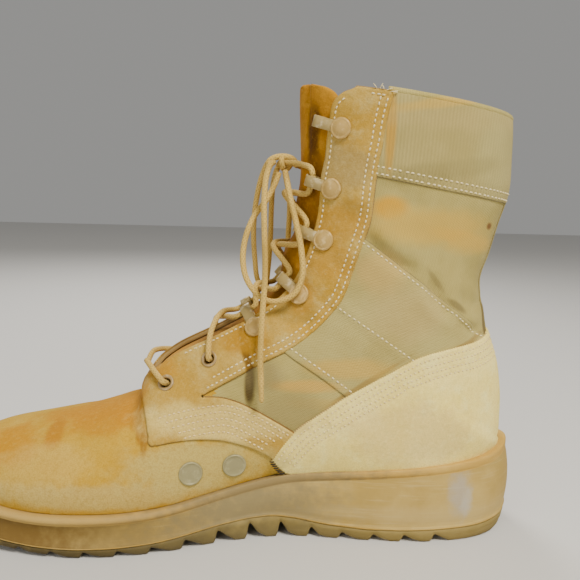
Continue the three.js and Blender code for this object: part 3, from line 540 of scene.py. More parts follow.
class Shape:
    """Collects vertices (millimetres), faces, uv (millimetres) and material numbers of one piece."""

    def __init__(self):
        self.points, self.faces, self.uv, self.slots = [], [], [], []
        self.count = 0

    def add(self, points, faces, uv=None, slot=0):
        points = np.asarray(points, float).reshape(-1, 3)
        faces = [np.asarray(f, int) + self.count for f in faces]
        self.points.append(points)
        self.uv.append(points[:, [0, 2]] if uv is None else np.asarray(uv, float).reshape(-1, 2))
        self.faces.extend(faces)
        self.slots.extend([slot] * len(faces) if np.isscalar(slot) else list(slot))
        self.count += len(points)

    def close(self, faces, slot=0):
        """More faces on the vertices there are, given by their numbers in the whole piece."""
        self.faces.extend(np.asarray(face, int) for face in faces)
        self.slots.extend([slot] * len(faces))

    def build(self, name, materials, weld=0.0):
        points = to_scene(np.vstack(self.points))
        mesh = bpy.data.meshes.new(name)
        sizes = np.array([len(f) for f in self.faces])
        corners = np.concatenate(self.faces)
        mesh.vertices.add(len(points))
        mesh.vertices.foreach_set("co", points.ravel())
        mesh.loops.add(len(corners))
        mesh.loops.foreach_set("vertex_index", corners.astype(np.int32))
        mesh.polygons.add(len(sizes))
        mesh.polygons.foreach_set("loop_start", (np.cumsum(sizes) - sizes).astype(np.int32))
        mesh.polygons.foreach_set("material_index", np.array(self.slots, np.int32))
        mesh.update(calc_edges=True)
        layer = mesh.uv_layers.new(name="cloth")
        layer.data.foreach_set("uv", (np.vstack(self.uv) * MM)[corners].astype(np.float32).ravel())
        mesh.polygons.foreach_set("use_smooth", np.ones(len(sizes), bool))
        mesh.validate()
        for material in materials:
            mesh.materials.append(material)
        piece = bpy.data.objects.new(name, mesh)
        bpy.context.collection.objects.link(piece)
        if weld:
            work = bmesh.new()
            work.from_mesh(mesh)
            bmesh.ops.remove_doubles(work, verts=work.verts, dist=weld * MM)
            work.to_mesh(mesh)
            work.free()
        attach(piece, "root")
        return piece


def grid_faces(rows, columns, flip=False, wrap=False):
    """Quads of a grid of points, row by row."""
    i = np.arange(rows - 1)[:, None]
    k = np.arange(columns if wrap else columns - 1)[None, :]
    a = i * columns + k
    b = i * columns + (k + 1) % columns
    quads = np.stack([a, b, b + columns, a + columns], -1).reshape(-1, 4)
    return quads[:, ::-1] if flip else quads


def tube_faces(rings, sides, flip=False):
    """Faces of a tube made of rings of points: its wall and both ends."""
    first = np.arange(sides)
    last = first + (rings - 1) * sides
    ends = [first, last[::-1]] if flip else [first[::-1], last]
    return [*grid_faces(rings, sides, flip, wrap=True), *ends]


def full_turn(count):
    return np.linspace(0, 2 * math.pi, count, endpoint=False)


def rings_along(first, second, turn, wide=1.0, high=1.0):
    """Ovals round each point of a line, spanned by its two cross directions."""
    return (first[:, None] * np.cos(turn)[:, None] * wide
            + second[:, None] * np.sin(turn)[:, None] * high)


def frames_along(points):
    """Tangents and two cross directions that turn as little as possible along a line."""
    tangent = unit(np.gradient(points, axis=0))
    first = np.array([0.0, 0, 1]) if abs(tangent[0][2]) < 0.9 else np.array([1.0, 0, 0])
    normals = [unit(first - tangent[0] * (first @ tangent[0]))]
    for t in tangent[1:]:
        n = normals[-1] - t * (normals[-1] @ t)
        normals.append(unit(n))
    normals = np.array(normals)
    return tangent, normals, np.cross(tangent, normals)


# ---------------------------------------------------------------------------
# Materials
# ---------------------------------------------------------------------------


class Paint:
    """A node material under construction."""

    def __init__(self, name, roughness, sheen=0.0, specular=0.5):
        self.material = bpy.data.materials.new(name)
        self.material.use_nodes = True
        self.tree = self.material.node_tree
        self.shader = self.tree.nodes["Principled BSDF"]
        for key, value in (("Roughness", roughness), ("Specular IOR Level", specular),
                           ("Sheen Weight", sheen), ("Sheen Roughness", 0.6)):
            self.shader.inputs[key].default_value = value
        place = self.tree.nodes.new("ShaderNodeTexCoord")
        self.on_boot, self.on_cloth = place.outputs["Object"], place.outputs["UV"]
        self.bump = None

    def node(self, kind, output, inputs, **settings):
        """One output of a new node; its inputs are numbers, vectors, colours or other outputs."""
        made = self.tree.nodes.new(kind)
        for key, value in settings.items():
            setattr(made, key, value)
        for key, value in inputs.items():
            socket = made.inputs[key]
            if isinstance(value, bpy.types.NodeSocket):
                self.tree.links.new(value, socket)
            else:
                socket.default_value = (*value, 1.0) if socket.type == "RGBA" else value
        return made.outputs[output]

    def noise(self, scale, detail=3.0, rough=0.55, stretch=None):
        at = self.on_boot
        if stretch:
            at = self.node("ShaderNodeMapping", "Vector", {"Vector": at, "Scale": stretch})
        return self.node("ShaderNodeTexNoise", "Fac",
                         {"Vector": at, "Scale": scale, "Detail": detail, "Roughness": rough})

    def wave(self, pitch, angle=0.0, warp=0.0):
        """Bands over the cloth, one every pitch millimetres."""
        turned = self.node("ShaderNodeMapping", "Vector",
                           {"Vector": self.on_cloth, "Rotation": (0, 0, math.radians(angle))})
        return self.node("ShaderNodeTexWave", "Fac",
                         {"Vector": turned, "Scale": math.pi / 10 / (pitch * MM),
                          "Distortion": warp, "Detail Scale": 2.0},
                         wave_type="BANDS", bands_direction="X")

    def math(self, operation, a, b):
        return self.node("ShaderNodeMath", 0, {0: a, 1: b}, operation=operation)

    def ramp(self, value, low, high, strength=1.0):
        """A soft step from 0 at low to strength at high."""
        step = self.node("ShaderNodeMapRange", "Result",
                         {"Value": value, "From Min": low, "From Max": high},
                         interpolation_type="SMOOTHSTEP")
        return step if strength == 1.0 else self.math("MULTIPLY", step, strength)

    def mix(self, share, base, colour):
        return self.node("ShaderNodeMix", 2, {0: share, 6: base, 7: colour}, data_type="RGBA")

    def cloudy(self, scale, detail, rough, low, high, dark, pale):
        return self.mix(self.ramp(self.noise(scale, detail, rough), low, high), dark, pale)

    def patched(self, colour, stains_and_shade, soft, ragged, scale):
        """The colour under a table of soft-edged patches of stain, dirt and painted shade, each an
        ellipsoid that may lean.
        """
        for centre, radii, tint, strength, *lean in stains_and_shade:
            shifted_at = self.node("ShaderNodeMapping", "Vector", {
                "Vector": self.on_boot, "Location": to_scene(centre),
                "Rotation": (0, math.radians(sum(lean)), 0), "Scale": tuple(r * MM for r in radii),
            }, vector_type="TEXTURE")
            size = self.node("ShaderNodeVectorMath", "Value", {0: shifted_at}, operation="LENGTH")
            edge = self.math("SUBTRACT", self.noise(scale, 4.0), 0.5)
            worn = self.math("ADD", size, self.math("MULTIPLY", edge, ragged * 2))
            share = self.math("MULTIPLY", self.ramp(worn, 1.0 + soft / 2, 1.0 - soft / 2), strength)
            colour = self.mix(share, colour, tint)
        return colour

    def set_bump(self, height, strength, distance):
        inputs = {"Height": height, "Strength": strength, "Distance": distance * MM}
        if self.bump:
            inputs["Normal"] = self.bump
        self.bump = self.node("ShaderNodeBump", "Normal", inputs)

    def finish(self, colour):
        self.tree.links.new(self.bump, self.shader.inputs["Normal"])
        self.tree.links.new(colour, self.shader.inputs["Base Color"])
        return self.material


def darker(colour, share):
    return tuple(c * share for c in colour)


# Stains and painted shade over the whole boot. Columns: centre, radii, colour, strength, and a lean in
# degrees if any.
SUEDE_STAINS_AND_SHADE = [
    ((238, 0, 66), (64, 28, 9), (0.49, 0.215, 0.004), 0.90),
    ((207, 14, 73), (12, 22, 14), (0.48, 0.20, 0.004), 0.80),
    # The next three rows: painted shade in the crease along the saddle's front edge, darkest at the edge.
    ((203.5, 26, 71), (5.0, 14, 9), (0.42, 0.180, 0.004), 0.90),
    ((198.4, 35, 64), (2.6, 14, 8), (0.36, 0.150, 0.004), 0.90),
    ((196.2, 38, 57), (1.9, 12, 7), (0.28, 0.115, 0.006), 0.85),
    ((262, 38, 34), (28, 20, 10), (0.46, 0.28, 0.022), 0.75),
    ((266, 26, 50), (14, 20, 8), (0.47, 0.205, 0.004), 0.75),
    ((245, 20, 55.5), (5.5, 16, 6), (0.42, 0.170, 0.004), 0.85),
    ((222, 16, 63), (22, 24, 7), (0.48, 0.205, 0.004), 0.75),
    ((246, 38, 42), (26, 14, 12), (0.60, 0.42, 0.11), 0.45),
    ((190, 10, 90), (14, 14, 7), (0.49, 0.225, 0.008), 0.7),
    ((144, 22, 109), (8, 14, 12), (0.46, 0.215, 0.008), 0.55),
    ((146, 28, 104), (2.4, 14, 15), (0.12, 0.050, 0.006), 0.90, 15),
    ((112, 24, 118), (12, 14, 10), (0.49, 0.26, 0.010), 0.6),
    ((100, 30, 170), (14, 14, 8), (0.42, 0.20, 0.012), 0.55),
    ((98, 30, 198), (14, 14, 12), (0.30, 0.225, 0.095), 0.55),
    ((94, 30, 176), (7, 14, 7), (0.36, 0.190, 0.020), 0.55),
    ((101, 30, 222), (9, 14, 6), (0.40, 0.235, 0.030), 0.45),
    ((120, 26, 124), (12, 14, 7), (0.30, 0.20, 0.045), 0.50),
    ((148, 26, 107), (13, 14, 6), (0.40, 0.195, 0.008), 0.75),
    ((103, 28, 150), (14, 14, 9), (0.40, 0.19, 0.012), 0.5),
    ((118, 26, 132), (8, 14, 9), (0.42, 0.20, 0.012), 0.55),
    ((126, 30, 66), (16, 20, 6), (0.55, 0.34, 0.08), 0.35),
    ((60, 30, 62), (34, 20, 18), (0.66, 0.46, 0.17), 0.45),
    ((215, 40, 31), (60, 30, 7), (0.54, 0.42, 0.15), 0.60),
    ((166, 38, 44), (40, 18, 13), (0.52, 0.41, 0.13), 0.80),
    ((152, 34, 67), (46, 24, 10), (0.74, 0.57, 0.18), 0.75),
]


# Painted shade on the tongue: the hollow of its top fold, and its lower part in the shade behind the laces.
# Same columns.
TONGUE_SHADE = [
    ((111.8, 8, 216), (3.4, 12, 17), (0.07, 0.024, 0.002), 0.95),
    ((110, 8, 196), (4.5, 12, 11), (0.20, 0.080, 0.004), 0.70),
    ((114, 0, 170), (16, 26, 17), (0.20, 0.080, 0.004), 0.65),
    ((128, 0, 132), (16, 26, 24), (0.17, 0.070, 0.004), 0.70),
    ((160, 0, 106), (24, 26, 10), (0.15, 0.062, 0.004), 0.70),
]


def suede(name, base, dark, pale, stains_and_shade=SUEDE_STAINS_AND_SHADE):
    """Rough-out leather: mottled, napped and rubbed, under patches of stain and painted shade."""
    paint = Paint(name, 0.95, sheen=0.04, specular=0.06)
    colour = paint.cloudy(34.0, 5.0, 0.55, 0.26, 0.72, dark, base)
    colour = paint.mix(paint.ramp(paint.noise(90.0, 5.0, 0.7), 0.47, 0.86), colour, pale)
    colour = paint.patched(colour, stains_and_shade, 0.65, 0.55, 110.0)
    grain = paint.noise(420.0, 4.0, 0.7)
    colour = paint.mix(paint.ramp(grain, 0.50, 0.70, 0.26), colour, pale)
    colour = paint.mix(paint.ramp(grain, 0.50, 0.31, 0.22), colour, darker(dark, 0.6))
    fleck = paint.ramp(paint.noise(1400.0, 3.0, 0.6), 0.60, 0.36, 0.25)
    colour = paint.mix(fleck, colour, darker(dark, 0.55))
    paint.set_bump(paint.noise(1.0, 3.0, 0.6, (900.0, 900.0, 2200.0)), 0.45, 0.35)
    paint.set_bump(paint.noise(260.0, 4.0, 0.6), 0.35, 0.9)
    return paint.finish(colour)


def canvas(name, base, dark, pitch, angle, rib, rib_depth):
    """Woven nylon: crossed threads and ribs with painted shade between the threads and in the rib grooves,
    under patches of stain and painted shade, and faded.
    """
    paint = Paint(name, 0.88, sheen=0.05, specular=0.12)
    colour = paint.cloudy(30.0, 5.0, 0.6, 0.33, 0.68, dark, base)
    colour = paint.patched(colour, CANVAS_STAINS_AND_SHADE, 0.9, 0.35, 90.0)
    threads = paint.math("MAXIMUM", paint.wave(pitch, angle), paint.wave(pitch, angle + 90))
    # Painted shade between the threads.
    colour = paint.mix(paint.ramp(threads, 0.75, 0.35, 0.35), colour, darker(dark, 0.5))
    ribs = paint.wave(rib, angle, 0.4)
    # Painted shade in the grooves between the ribs, as strong as their bump.
    colour = paint.mix(paint.ramp(ribs, 0.6, 0.15, rib_depth * 0.6), colour, darker(dark, 0.6))
    paint.set_bump(ribs, rib_depth, 0.45)
    paint.set_bump(threads, 0.35, 0.25)
    paint.set_bump(paint.noise(180.0, 3.0), 0.15, 0.8)
    return paint.finish(colour)


# Stains on the canvas, and painted shade in some rows; same columns.
CANVAS_STAINS_AND_SHADE = [
    ((75, 30, 178), (9, 16, 5.5), (0.60, 0.31, 0.015), 0.95),
    ((52, 34, 169), (32, 26, 9), (0.58, 0.37, 0.06), 0.80),
    ((34, 30, 163), (18, 22, 4), (0.62, 0.37, 0.05), 0.75, -14),
    ((77.0, 35, 214), (2.4, 16, 19), (0.52, 0.28, 0.03), 0.85),
    ((20.0, 24, 170), (1.9, 8, 1.9), (0.16, 0.06, 0.010), 0.95),
    # Painted shadow along the edge of the backstay.
    ((15.5, 10, 121), (2.2, 9, 17), (0.10, 0.060, 0.020), 0.85),
    # The next three rows: painted shade in the folds of the canvas.
    ((49, 29, 142), (7.0, 10, 1.3), (0.24, 0.185, 0.065), 0.60, -51),
    ((36, 27, 128.5), (6.0, 10, 1.7), (0.17, 0.125, 0.045), 0.75, -34),
    ((74, 33, 157), (13, 12, 1.9), (0.30, 0.240, 0.085), 0.35, -35),
    # The next two rows: painted shadow along the counter's top edge.
    ((40, 27, 104.8), (30, 16, 1.4), (0.27, 0.160, 0.036), 0.65, 21),
    ((84, 32, 88.5), (24, 16, 1.4), (0.28, 0.165, 0.036), 0.70, 33),
    ((52, 34, 229.5), (27, 18, 2.6), (0.60, 0.38, 0.07), 0.70, 9),
    ((28, 24, 160), (15, 18, 5), (0.58, 0.38, 0.07), 0.65),
    # Painted shade along the back seam, by the edge of the backstay.
    ((8, 0, 120), (8, 13, 24), (0.13, 0.090, 0.035), 0.75),
    ((78, 32, 146), (12, 16, 10), (0.56, 0.36, 0.10), 0.55),
    ((64, 32, 125), (20, 16, 14), (0.56, 0.40, 0.15), 0.35),
    ((92, 34, 96), (22, 14, 5), (0.58, 0.37, 0.07), 0.75),
    ((114, 32, 86), (18, 14, 3.2), (0.58, 0.34, 0.06), 0.80),
    ((108, 32, 77), (14, 14, 3.0), (0.50, 0.34, 0.08), 0.60),
    ((143.4, 30, 86), (2.4, 14, 11), (0.055, 0.028, 0.006), 0.95),
    ((120, 32, 72), (18, 16, 11), (0.31, 0.245, 0.088), 0.65),
    ((40, 30, 222), (44, 22, 5), (0.50, 0.38, 0.14), 0.35),
    ((20, 30, 205), (14, 16, 22), (0.46, 0.42, 0.17), 0.35),
    # Painted shade on the collar band above its lower stitches.
    ((50, 34, 197), (36, 20, 4.5), (0.29, 0.240, 0.085), 0.50, 9),
    ((136, 30, 90), (10, 20, 8), (0.24, 0.19, 0.09), 0.45),
]


# Marks on the rubber and painted shade, with the same columns.
MIDSOLE_MARKS_AND_SHADE = [
    # The next two rows darken the forefoot's wall: partly dirt, partly painted shade where the wall faces
    # down.
    ((235, 0, 10), (95, 90, 17), (0.21, 0.140, 0.040), 0.85),
    ((262, 0, 14), (36, 90, 20), (0.14, 0.078, 0.014), 0.90),
    ((144, 0, 20), (48, 70, 17), (0.23, 0.180, 0.084), 0.88),
    ((40, 30, 16), (60, 40, 5), (0.56, 0.42, 0.17), 0.40),
    ((30, 30, 27), (6.0, 12, 12), (0.36, 0.36, 0.36), 0.50),
    ((26, 28, 22), (3.2, 12, 7), (0.50, 0.48, 0.43), 0.35),
]
# Painted shade on the outsole, strongest under the forefoot; same columns.
OUTSOLE_SHADE = [
    ((240, 0, 2), (88, 90, 15), (0.060, 0.043, 0.015), 0.90),
    ((150, 0, 2), (60, 90, 9), (0.16, 0.125, 0.050), 0.60),
]
LIP_MARKS_AND_SHADE = [
    ((235, 0, 20), (95, 90, 16), (0.41, 0.275, 0.088), 0.7),
    # Painted shade on the lip under the counter's edge, along the arch.
    ((134, 0, 30), (70, 90, 16), (0.23, 0.170, 0.075), 0.88),
]


def rubber(name, base, dark, grime, marks_and_shade):
    """Moulded rubber: matt, dusty, with fine horizontal rubbing streaks, under patches of dirt and painted
    shade.
    """
    paint = Paint(name, 0.66, specular=0.2)
    colour = paint.cloudy(26.0, 5.0, 0.6, 0.35, 0.68, dark, base)
    streaks = paint.noise(1.0, 4.0, 0.6, (40.0, 40.0, 900.0))
    colour = paint.mix(paint.ramp(streaks, 0.52, 0.75, 0.45), colour, grime)
    colour = paint.patched(colour, marks_and_shade, 1.1, 0.6, 220.0)
    paint.set_bump(paint.noise(900.0, 3.0), 0.18, 0.25)
    paint.set_bump(streaks, 0.2, 0.3)
    return paint.finish(colour)


def enamel(name, base, worn):
    """Painted metal with rubbed spots."""
    paint = Paint(name, 0.42)
    paint.shader.inputs["Metallic"].default_value = 0.15
    paint.set_bump(paint.noise(700.0, 3.0), 0.12, 0.2)
    return paint.finish(paint.cloudy(260.0, 4.0, 0.6, 0.50, 0.66, base, worn))


def cord_paint(name, base, dark):
    """Braided lace, darker between its strands with painted shade."""
    paint = Paint(name, 0.85, sheen=0.05, specular=0.15)
    strands = paint.math("MAXIMUM", paint.wave(1.3, 32), paint.wave(1.3, -32))
    woven = paint.math("ADD", paint.ramp(strands, 0.30, 0.85, 0.55), 0.45)
    colour = paint.mix(woven, dark, base)
    colour = paint.mix(paint.ramp(paint.noise(60.0, 4.0), 0.45, 0.7, 0.45), colour, dark)
    paint.set_bump(strands, 0.45, 0.3)
    return paint.finish(colour)


def plain_fabric(name, base, dark, pitch=0.9):
    paint = Paint(name, 0.93, sheen=0.1, specular=0.2)
    threads = paint.math("MAXIMUM", paint.wave(pitch, 45), paint.wave(pitch, -45))
    paint.set_bump(threads, 0.3, 0.25)
    paint.set_bump(paint.noise(500.0, 3.0), 0.2, 0.3)
    return paint.finish(paint.cloudy(60.0, 4.0, 0.55, 0.35, 0.7, dark, base))


# ---------------------------------------------------------------------------
# Laces
# ---------------------------------------------------------------------------

LACE_RADIUS = 1.55
LACE_STEP = 0.75
LACE_SIDES = 12
STRAND_TWIST = 1.9
STRAND_RELIEF = 0.05
TIP_LENGTH = 9
TIP_SHARE = 0.86

# Stations from the toe upward: kind, x and z in side view, tilt of the loop's strip up the throat.
LACING = [
    ("eyelet", 186.6, 84.0, 0), ("eyelet", 164.1, 97.0, 0), ("loop", 143.6, 115.9, 0),
    ("loop", 120.2, 133.9, 18), ("loop", 107.3, 161.6, 15), ("loop", 102.2, 186.4, 17),
    ("loop", 98.4, 216.0, 12),
]
RIVET_FROM_EDGE = 7.6
LOOP_REACH = 13.0
LOOP_BORE = 2.5
LOOP_STRIP = 0.9
LOOP_WIDTH = 5.8
LOOP_CENTRE = (LOOP_REACH, 0.0, 2.0 - LOOP_BORE - LOOP_STRIP)
LACE_END_GAP = 6.2
SIDES = (("medial", 1), ("lateral", -1))


def seat(side, x, z, from_edge=None, tilt=0):
    """Frame on the upper: X to the throat, Z outward; its origin lies on the last."""
    u, tau = locate(x, z)
    if from_edge is not None:
        from_ridge, _ = cloth_lengths(1, u, throat(u))
        taus = np.linspace(float(throat(u)), 0.5, 400)
        overs, _ = cloth_lengths(1, np.full(400, float(u)), taus)
        tau = np.interp(from_ridge + from_edge, overs, taus)
    outward = last_normal(side, u, tau)
    along = unit(last_point(side, u + 0.2, tau) - last_point(side, u - 0.2, tau))
    forward = unit(np.cross(outward, along) * side)
    up = unit(np.cross(outward, forward))
    turn = -side * math.radians(tilt)
    forward, up = (forward * math.cos(turn) + up * math.sin(turn),
                   up * math.cos(turn) - forward * math.sin(turn))
    return np.array([forward, up, outward]), surface(side, u, tau, 0.0)


SEATS = {
    name: [seat(side, x, z, None if kind == "eyelet" else RIVET_FROM_EDGE, tilt)
           for kind, x, z, tilt in LACING]
    for name, side in SIDES
}


def in_seat(frame_at, local):
    axes, origin = frame_at
    return np.asarray(local, float) @ axes + origin


def station(name, index, along, height=0.0):
    """Middle of the lace in a loop, or at a height over an eyelet; along runs up the throat."""
    kind = LACING[index][0]
    up = -along if name == "medial" else along
    centre = (0.0, 0.0, height) if kind == "eyelet" else LOOP_CENTRE
    return in_seat(SEATS[name][index], np.add(centre, (0.0, up, 0.0)))


# Routes of the free loops and ends, from the knot onward. Columns: x, y, z.
KNOT_CENTRE = (128.0, 0.0, 200.0)
KNOT_RADIUS = 5.6
FREE_LACE = {
    "lace_bow_near": [
        (129, 2, 198), (131.5, 5, 190), (136, 8, 181), (143, 12, 171), (147, 15, 160),
        (148, 18, 149), (146, 20.5, 140), (141, 23, 133), (134, 25.5, 129), (127, 27.5, 130),
        (121, 29, 134), (117.5, 29, 143), (118, 27, 154), (120, 23, 165), (122.5, 17.5, 176),
        (125, 11, 187), (127, 3, 198),
    ],
    "lace_bow_far": [
        (130, -1, 200), (134.5, -3, 201), (138.5, -9, 194), (142, -15, 178), (143, -19, 162),
        (142, -21.5, 146), (140, -23.5, 133), (135, -25.5, 126), (129, -27, 127),
        (125, -28, 136), (123, -28, 150), (122.5, -25.5, 164), (122.5, -20, 177),
        (124, -12, 188), (127, -2, 198),
    ],
    "lace_end_near": [
        (129, 1, 200), (133.5, 5, 200), (136.5, 11, 193), (137.5, 17, 181), (137, 23, 162),
        (136.5, 26, 150), (136.5, 29, 139), (137.5, 32, 122), (138, 36, 101), (137.5, 38, 90),
        (137, 38.5, 79),
    ],
    "lace_end_far": [
        (129, -2, 200), (131, -9, 196), (132.5, -16, 188), (133, -23, 175), (133, -28, 160),
        (133.5, -31, 146), (134.5, -33.5, 131), (135.5, -37, 115), (136, -40.5, 99),
        (136, -42.5, 86),
    ],
}

# Wraps of the knot. Columns: centre, direction across, direction up, half sizes along those, and
# where the wrap starts and stops, in degrees.
KNOT_WRAPS = [
    ((127.4, 0, 200.2), (0.25, 1, 0), (0.1, 0, 1), 4.8, 3.4, -60, 238),
    ((128.4, 2.2, 199.6), (1, 0.10, -0.05), (0, 0.2, 1), 7.4, 4.0, -25, 205),
    ((127.0, -0.4, 199.0), (1, -0.5, -0.2), (0.2, 0.7, 0.7), 3.2, 3.0, 0, 290),
]


def lace_tube(shape, line, tip=False):
    """A braided tube along a line, its surface rippled by crossing strands."""
    line = resample(line, LACE_STEP)
    _, first, second = frames_along(line)
    around = full_turn(LACE_SIDES)
    walked = np.linspace(0, length_of(line), len(line))[:, None]
    twist = walked * STRAND_TWIST
    ripple = np.sin(3 * around + twist) * np.sin(3 * around - twist)
    radius = LACE_RADIUS * (1 + STRAND_RELIEF * ripple)
    if tip:
        left = walked[-1] - walked
        rounded = np.sqrt(np.clip(left / 1.2 + 0.15, 0, 1))
        radius = radius * np.where(left < TIP_LENGTH, TIP_SHARE, 1.0) * rounded
    points = line[:, None] + rings_along(first, second, around) * radius[..., None]
    uv = np.stack(np.broadcast_arrays(around[None] * LACE_RADIUS, walked), -1)
    shape.add(points, tube_faces(len(line), LACE_SIDES, True), uv)


def outside_knot(line):
    """The stretch of a route between the knot's surface and its far end, or back to the knot."""
    far = np.linalg.norm(line - KNOT_CENTRE, axis=1) > KNOT_RADIUS + 0.6
    kept = np.flatnonzero(far)
    return line[kept[0]:kept[-1] + 1]


def add_free_laces(paint):
    for name, route in FREE_LACE.items():
        line = outside_knot(centripetal(route, 24))
        loop = "bow" in name
        shape = Shape()
        lace_tube(shape, line, tip=not loop)
        piece = shape.build(name + "_cord", [paint])
        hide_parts(name)


def ring_line(centre, across, upward, wide, high, start, stop):
    turn = np.radians(np.linspace(start, stop, 26))[:, None]
    across, upward = unit(np.array(across, float)), unit(np.array(upward, float))
    return np.array(centre) + across * np.cos(turn) * wide + upward * np.sin(turn) * high


def add_knot(paint):
    """Bow knot: the two ties come in, and wraps of lace close over them."""
    shape = Shape()
    for name, side in SIDES:
        start = station(name, 5, 3.0)
        lace_tube(shape, centripetal([
            start, start + (1.0, -0.6 * side, 3.4), (118.5, 9.0 * side, 199.4),
            (123.5, 4.2 * side, 200.4), (127.5, 0.8 * side, 200.0),
        ]))
    for wrap in KNOT_WRAPS:
        lace_tube(shape, ring_line(*wrap))
    knot = shape.build("lace_knot_wraps", [paint])
    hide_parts("lace_knot")
    return knot


# Rows at which the lace crosses the ridge above stations 2 to 5.
CROSSING_ROWS = [15.9, 18.6, 21.8, 25.2]
LACE_OVER_RIDGE = 3.4
LACE_OVER_EDGE = 4.2
LACES_APART = 1.4
# Way out of an eyelet, for the runs and for the bar. Columns: along the throat, height.
RUN_START = [(0.0, -3.2), (0.0, 1.0), (0.8, 4.6)]
BAR_START = [(0.0, -3.0), (0.0, 1.2), (-0.6, 4.6)]
# The bar over the ridge. Columns: side, row, tau, height.
BAR_MIDDLE = [(1, 11.2, 0.014, 4.8), (1, 10.85, 0.0, 3.6), (-1, 11.2, 0.014, 4.8)]


def add_threaded_laces(paint):
    """The two runs from the upper eyelets through the loops, and the bar over the throat's base."""
    for k, (name, side) in enumerate(SIDES):
        here, there = name, SIDES[1 - k][0]
        u_eyelet, _ = locate(*LACING[1][1:3])
        over_edge = (u_eyelet + CROSSING_ROWS[0]) / 2
        points = [station(here, 1, *place) for place in RUN_START]
        points.append(surface(side, over_edge, throat(over_edge), LACE_OVER_EDGE))
        for i, row in enumerate(CROSSING_ROWS):
            lift = LACES_APART if (k == 0) == (i % 2 == 0) else -LACES_APART
            points.append(surface(1, row, 0.0, LACE_OVER_RIDGE + lift))
            target = there if i % 2 == 0 else here
            points += [station(target, i + 2, -LACE_END_GAP), station(target, i + 2, 0.0)]
            if i < len(CROSSING_ROWS) - 1:
                points.append(station(target, i + 2, LACE_END_GAP * 0.8))
        points.append(station(here, 5, 3.2))
        shape = Shape()
        lace_tube(shape, centripetal(points, 20))
        piece = shape.build(f"lace_run_from_{name}", [paint])
        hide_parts(*[f"lace_crossing_{i + 1}" for i in range(len(CROSSING_ROWS))])
    shape = Shape()
    medial, lateral = ([station(name, 0, *place) for place in BAR_START] for name, _ in SIDES)
    middle = [surface(*place) for place in BAR_MIDDLE]
    lace_tube(shape, centripetal(medial + middle + lateral[::-1], 20))
    bar = shape.build("lace_bottom_bar", [paint])
    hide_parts("lace_bar")


# ---------------------------------------------------------------------------
# Upper: shell, panels and stitches
# ---------------------------------------------------------------------------


def inside_polygon(x, z, polygon):
    """True for side-view points inside a closed polygon."""
    px, pz = np.array(polygon, float).T
    qx, qz = np.roll(px, -1), np.roll(pz, -1)
    inside = np.zeros(np.shape(x), bool)
    for x0, z0, x1, z1 in zip(px, pz, qx, qz):
        if z0 == z1:
            continue
        crosses = (z0 > z) != (z1 > z)
        inside ^= crosses & (x < (x1 - x0) * (z - z0) / (z1 - z0) + x0)
    return inside


# Where the shell is canvas; every border lies under a panel.
CANVAS_ZONE = [
    (164, 77), (146, 72), (130, 64), (118, 56), (98, 62), (62, 88), (30, 98), (-20, 104),
    (-20, 250), (86, 250), (88, 200), (90, 170), (97, 142), (112, 118), (136, 102), (156, 88),
]
SHELL_ROWS = 6
SHELL_COLUMNS = 60
EYELET_HOLE = 3.5
EYELETS = 2


def add_upper_shell(suede_paint, canvas_paint, lining_paint):
    """The whole lasted upper: vamp and quarters outside, lining inside, open collar and throat."""
    shape = Shape()
    u = np.linspace(0, COLLAR_ROW, COLLAR_ROW * SHELL_ROWS + 1)
    q = np.linspace(0, 1, SHELL_COLUMNS + 1)
    columns, size = len(q), len(u) * len(q)
    for name, side in SIDES:
        start = throat(u)[:, None]
        tau = start + (1 - start) * spread(q)[None]
        uu = np.broadcast_to(u[:, None], tau.shape)
        uv = np.stack(cloth_lengths(side, uu, tau), -1)
        outer = surface(side, uu, tau, 0.0)
        outer[uu[:, -1] < FIRST_BACK_ROW - 0.5, -1, 2] -= CLEARANCE - 0.05
        quads = grid_faces(*tau.shape, flip=side < 0)
        centre = outer.reshape(-1, 3)[quads].mean(1)
        clear = np.ones(len(quads), bool)
        for _, at in SEATS[name][:EYELETS]:
            clear &= np.linalg.norm(centre - at, axis=1) > EYELET_HOLE
        is_canvas = inside_polygon(centre[:, 0], centre[:, 2], CANVAS_ZONE)
        shape.add(outer, quads[clear], uv, is_canvas[clear].astype(int))
        shape.add(surface(side, uu, tau, -UPPER_WALL), quads[clear][:, ::-1], uv, 2)
        base_out = shape.count - 2 * size
        front = [i * columns for i in range(len(u)) if start[i, 0] > 0]
        foot = [i * columns + columns - 1 for i in range(len(u)) if u[i] <= FIRST_BACK_ROW]
        top = [size - columns + k for k in range(columns)]
        for line, turned in ((front, side < 0), (foot, side > 0), (top, side < 0)):
            a, b = base_out + np.array(line[:-1]), base_out + np.array(line[1:])
            strip = np.stack([a, b, b + size, a + size], 1)
            shape.close(strip[:, ::-1] if turned else strip, 2)
    # The blunt end of the toe, under the rim's lip.
    k = np.arange(SHELL_COLUMNS)
    lateral = k + 2 * size
    blunt = np.stack([k + 1, k, lateral, lateral + 1], 1)
    shape.close(blunt)
    shape.close((blunt + size)[:, ::-1], 2)
    piece = shape.build("upper_shell", [suede_paint, canvas_paint, lining_paint], weld=WELD)
    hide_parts("upper")


# The upper laid flat, where panels are cut out: its width from the ridge to the back line, the
# spacing of a panel's points, and the gaps kept between them.
FLAT_WIDTH = 125.0
PANEL_STEP = 2.3
FIELD_GAP = 1.0
OUTLINE_GAP = 0.22
SAME_POINT = 0.3
# A panel's rounded edge, its darker rim (the cut edge's colour with painted shade where panels meet), how
# far it goes into the upper, and its stitch channels.
EDGE_ROUND = 1.3
RIM_WIDTH = 0.6
PANEL_SINK = 0.3
CHANNEL_HALF = 0.75


def to_flat(u, tau):
    across = FLAT_WIDTH * np.arccos(np.clip(1 - 2 * np.asarray(tau), -1, 1)) / math.pi
    return np.stack([np.interp(u, LENGTH_U, ROWS_LENGTH), across], -1)


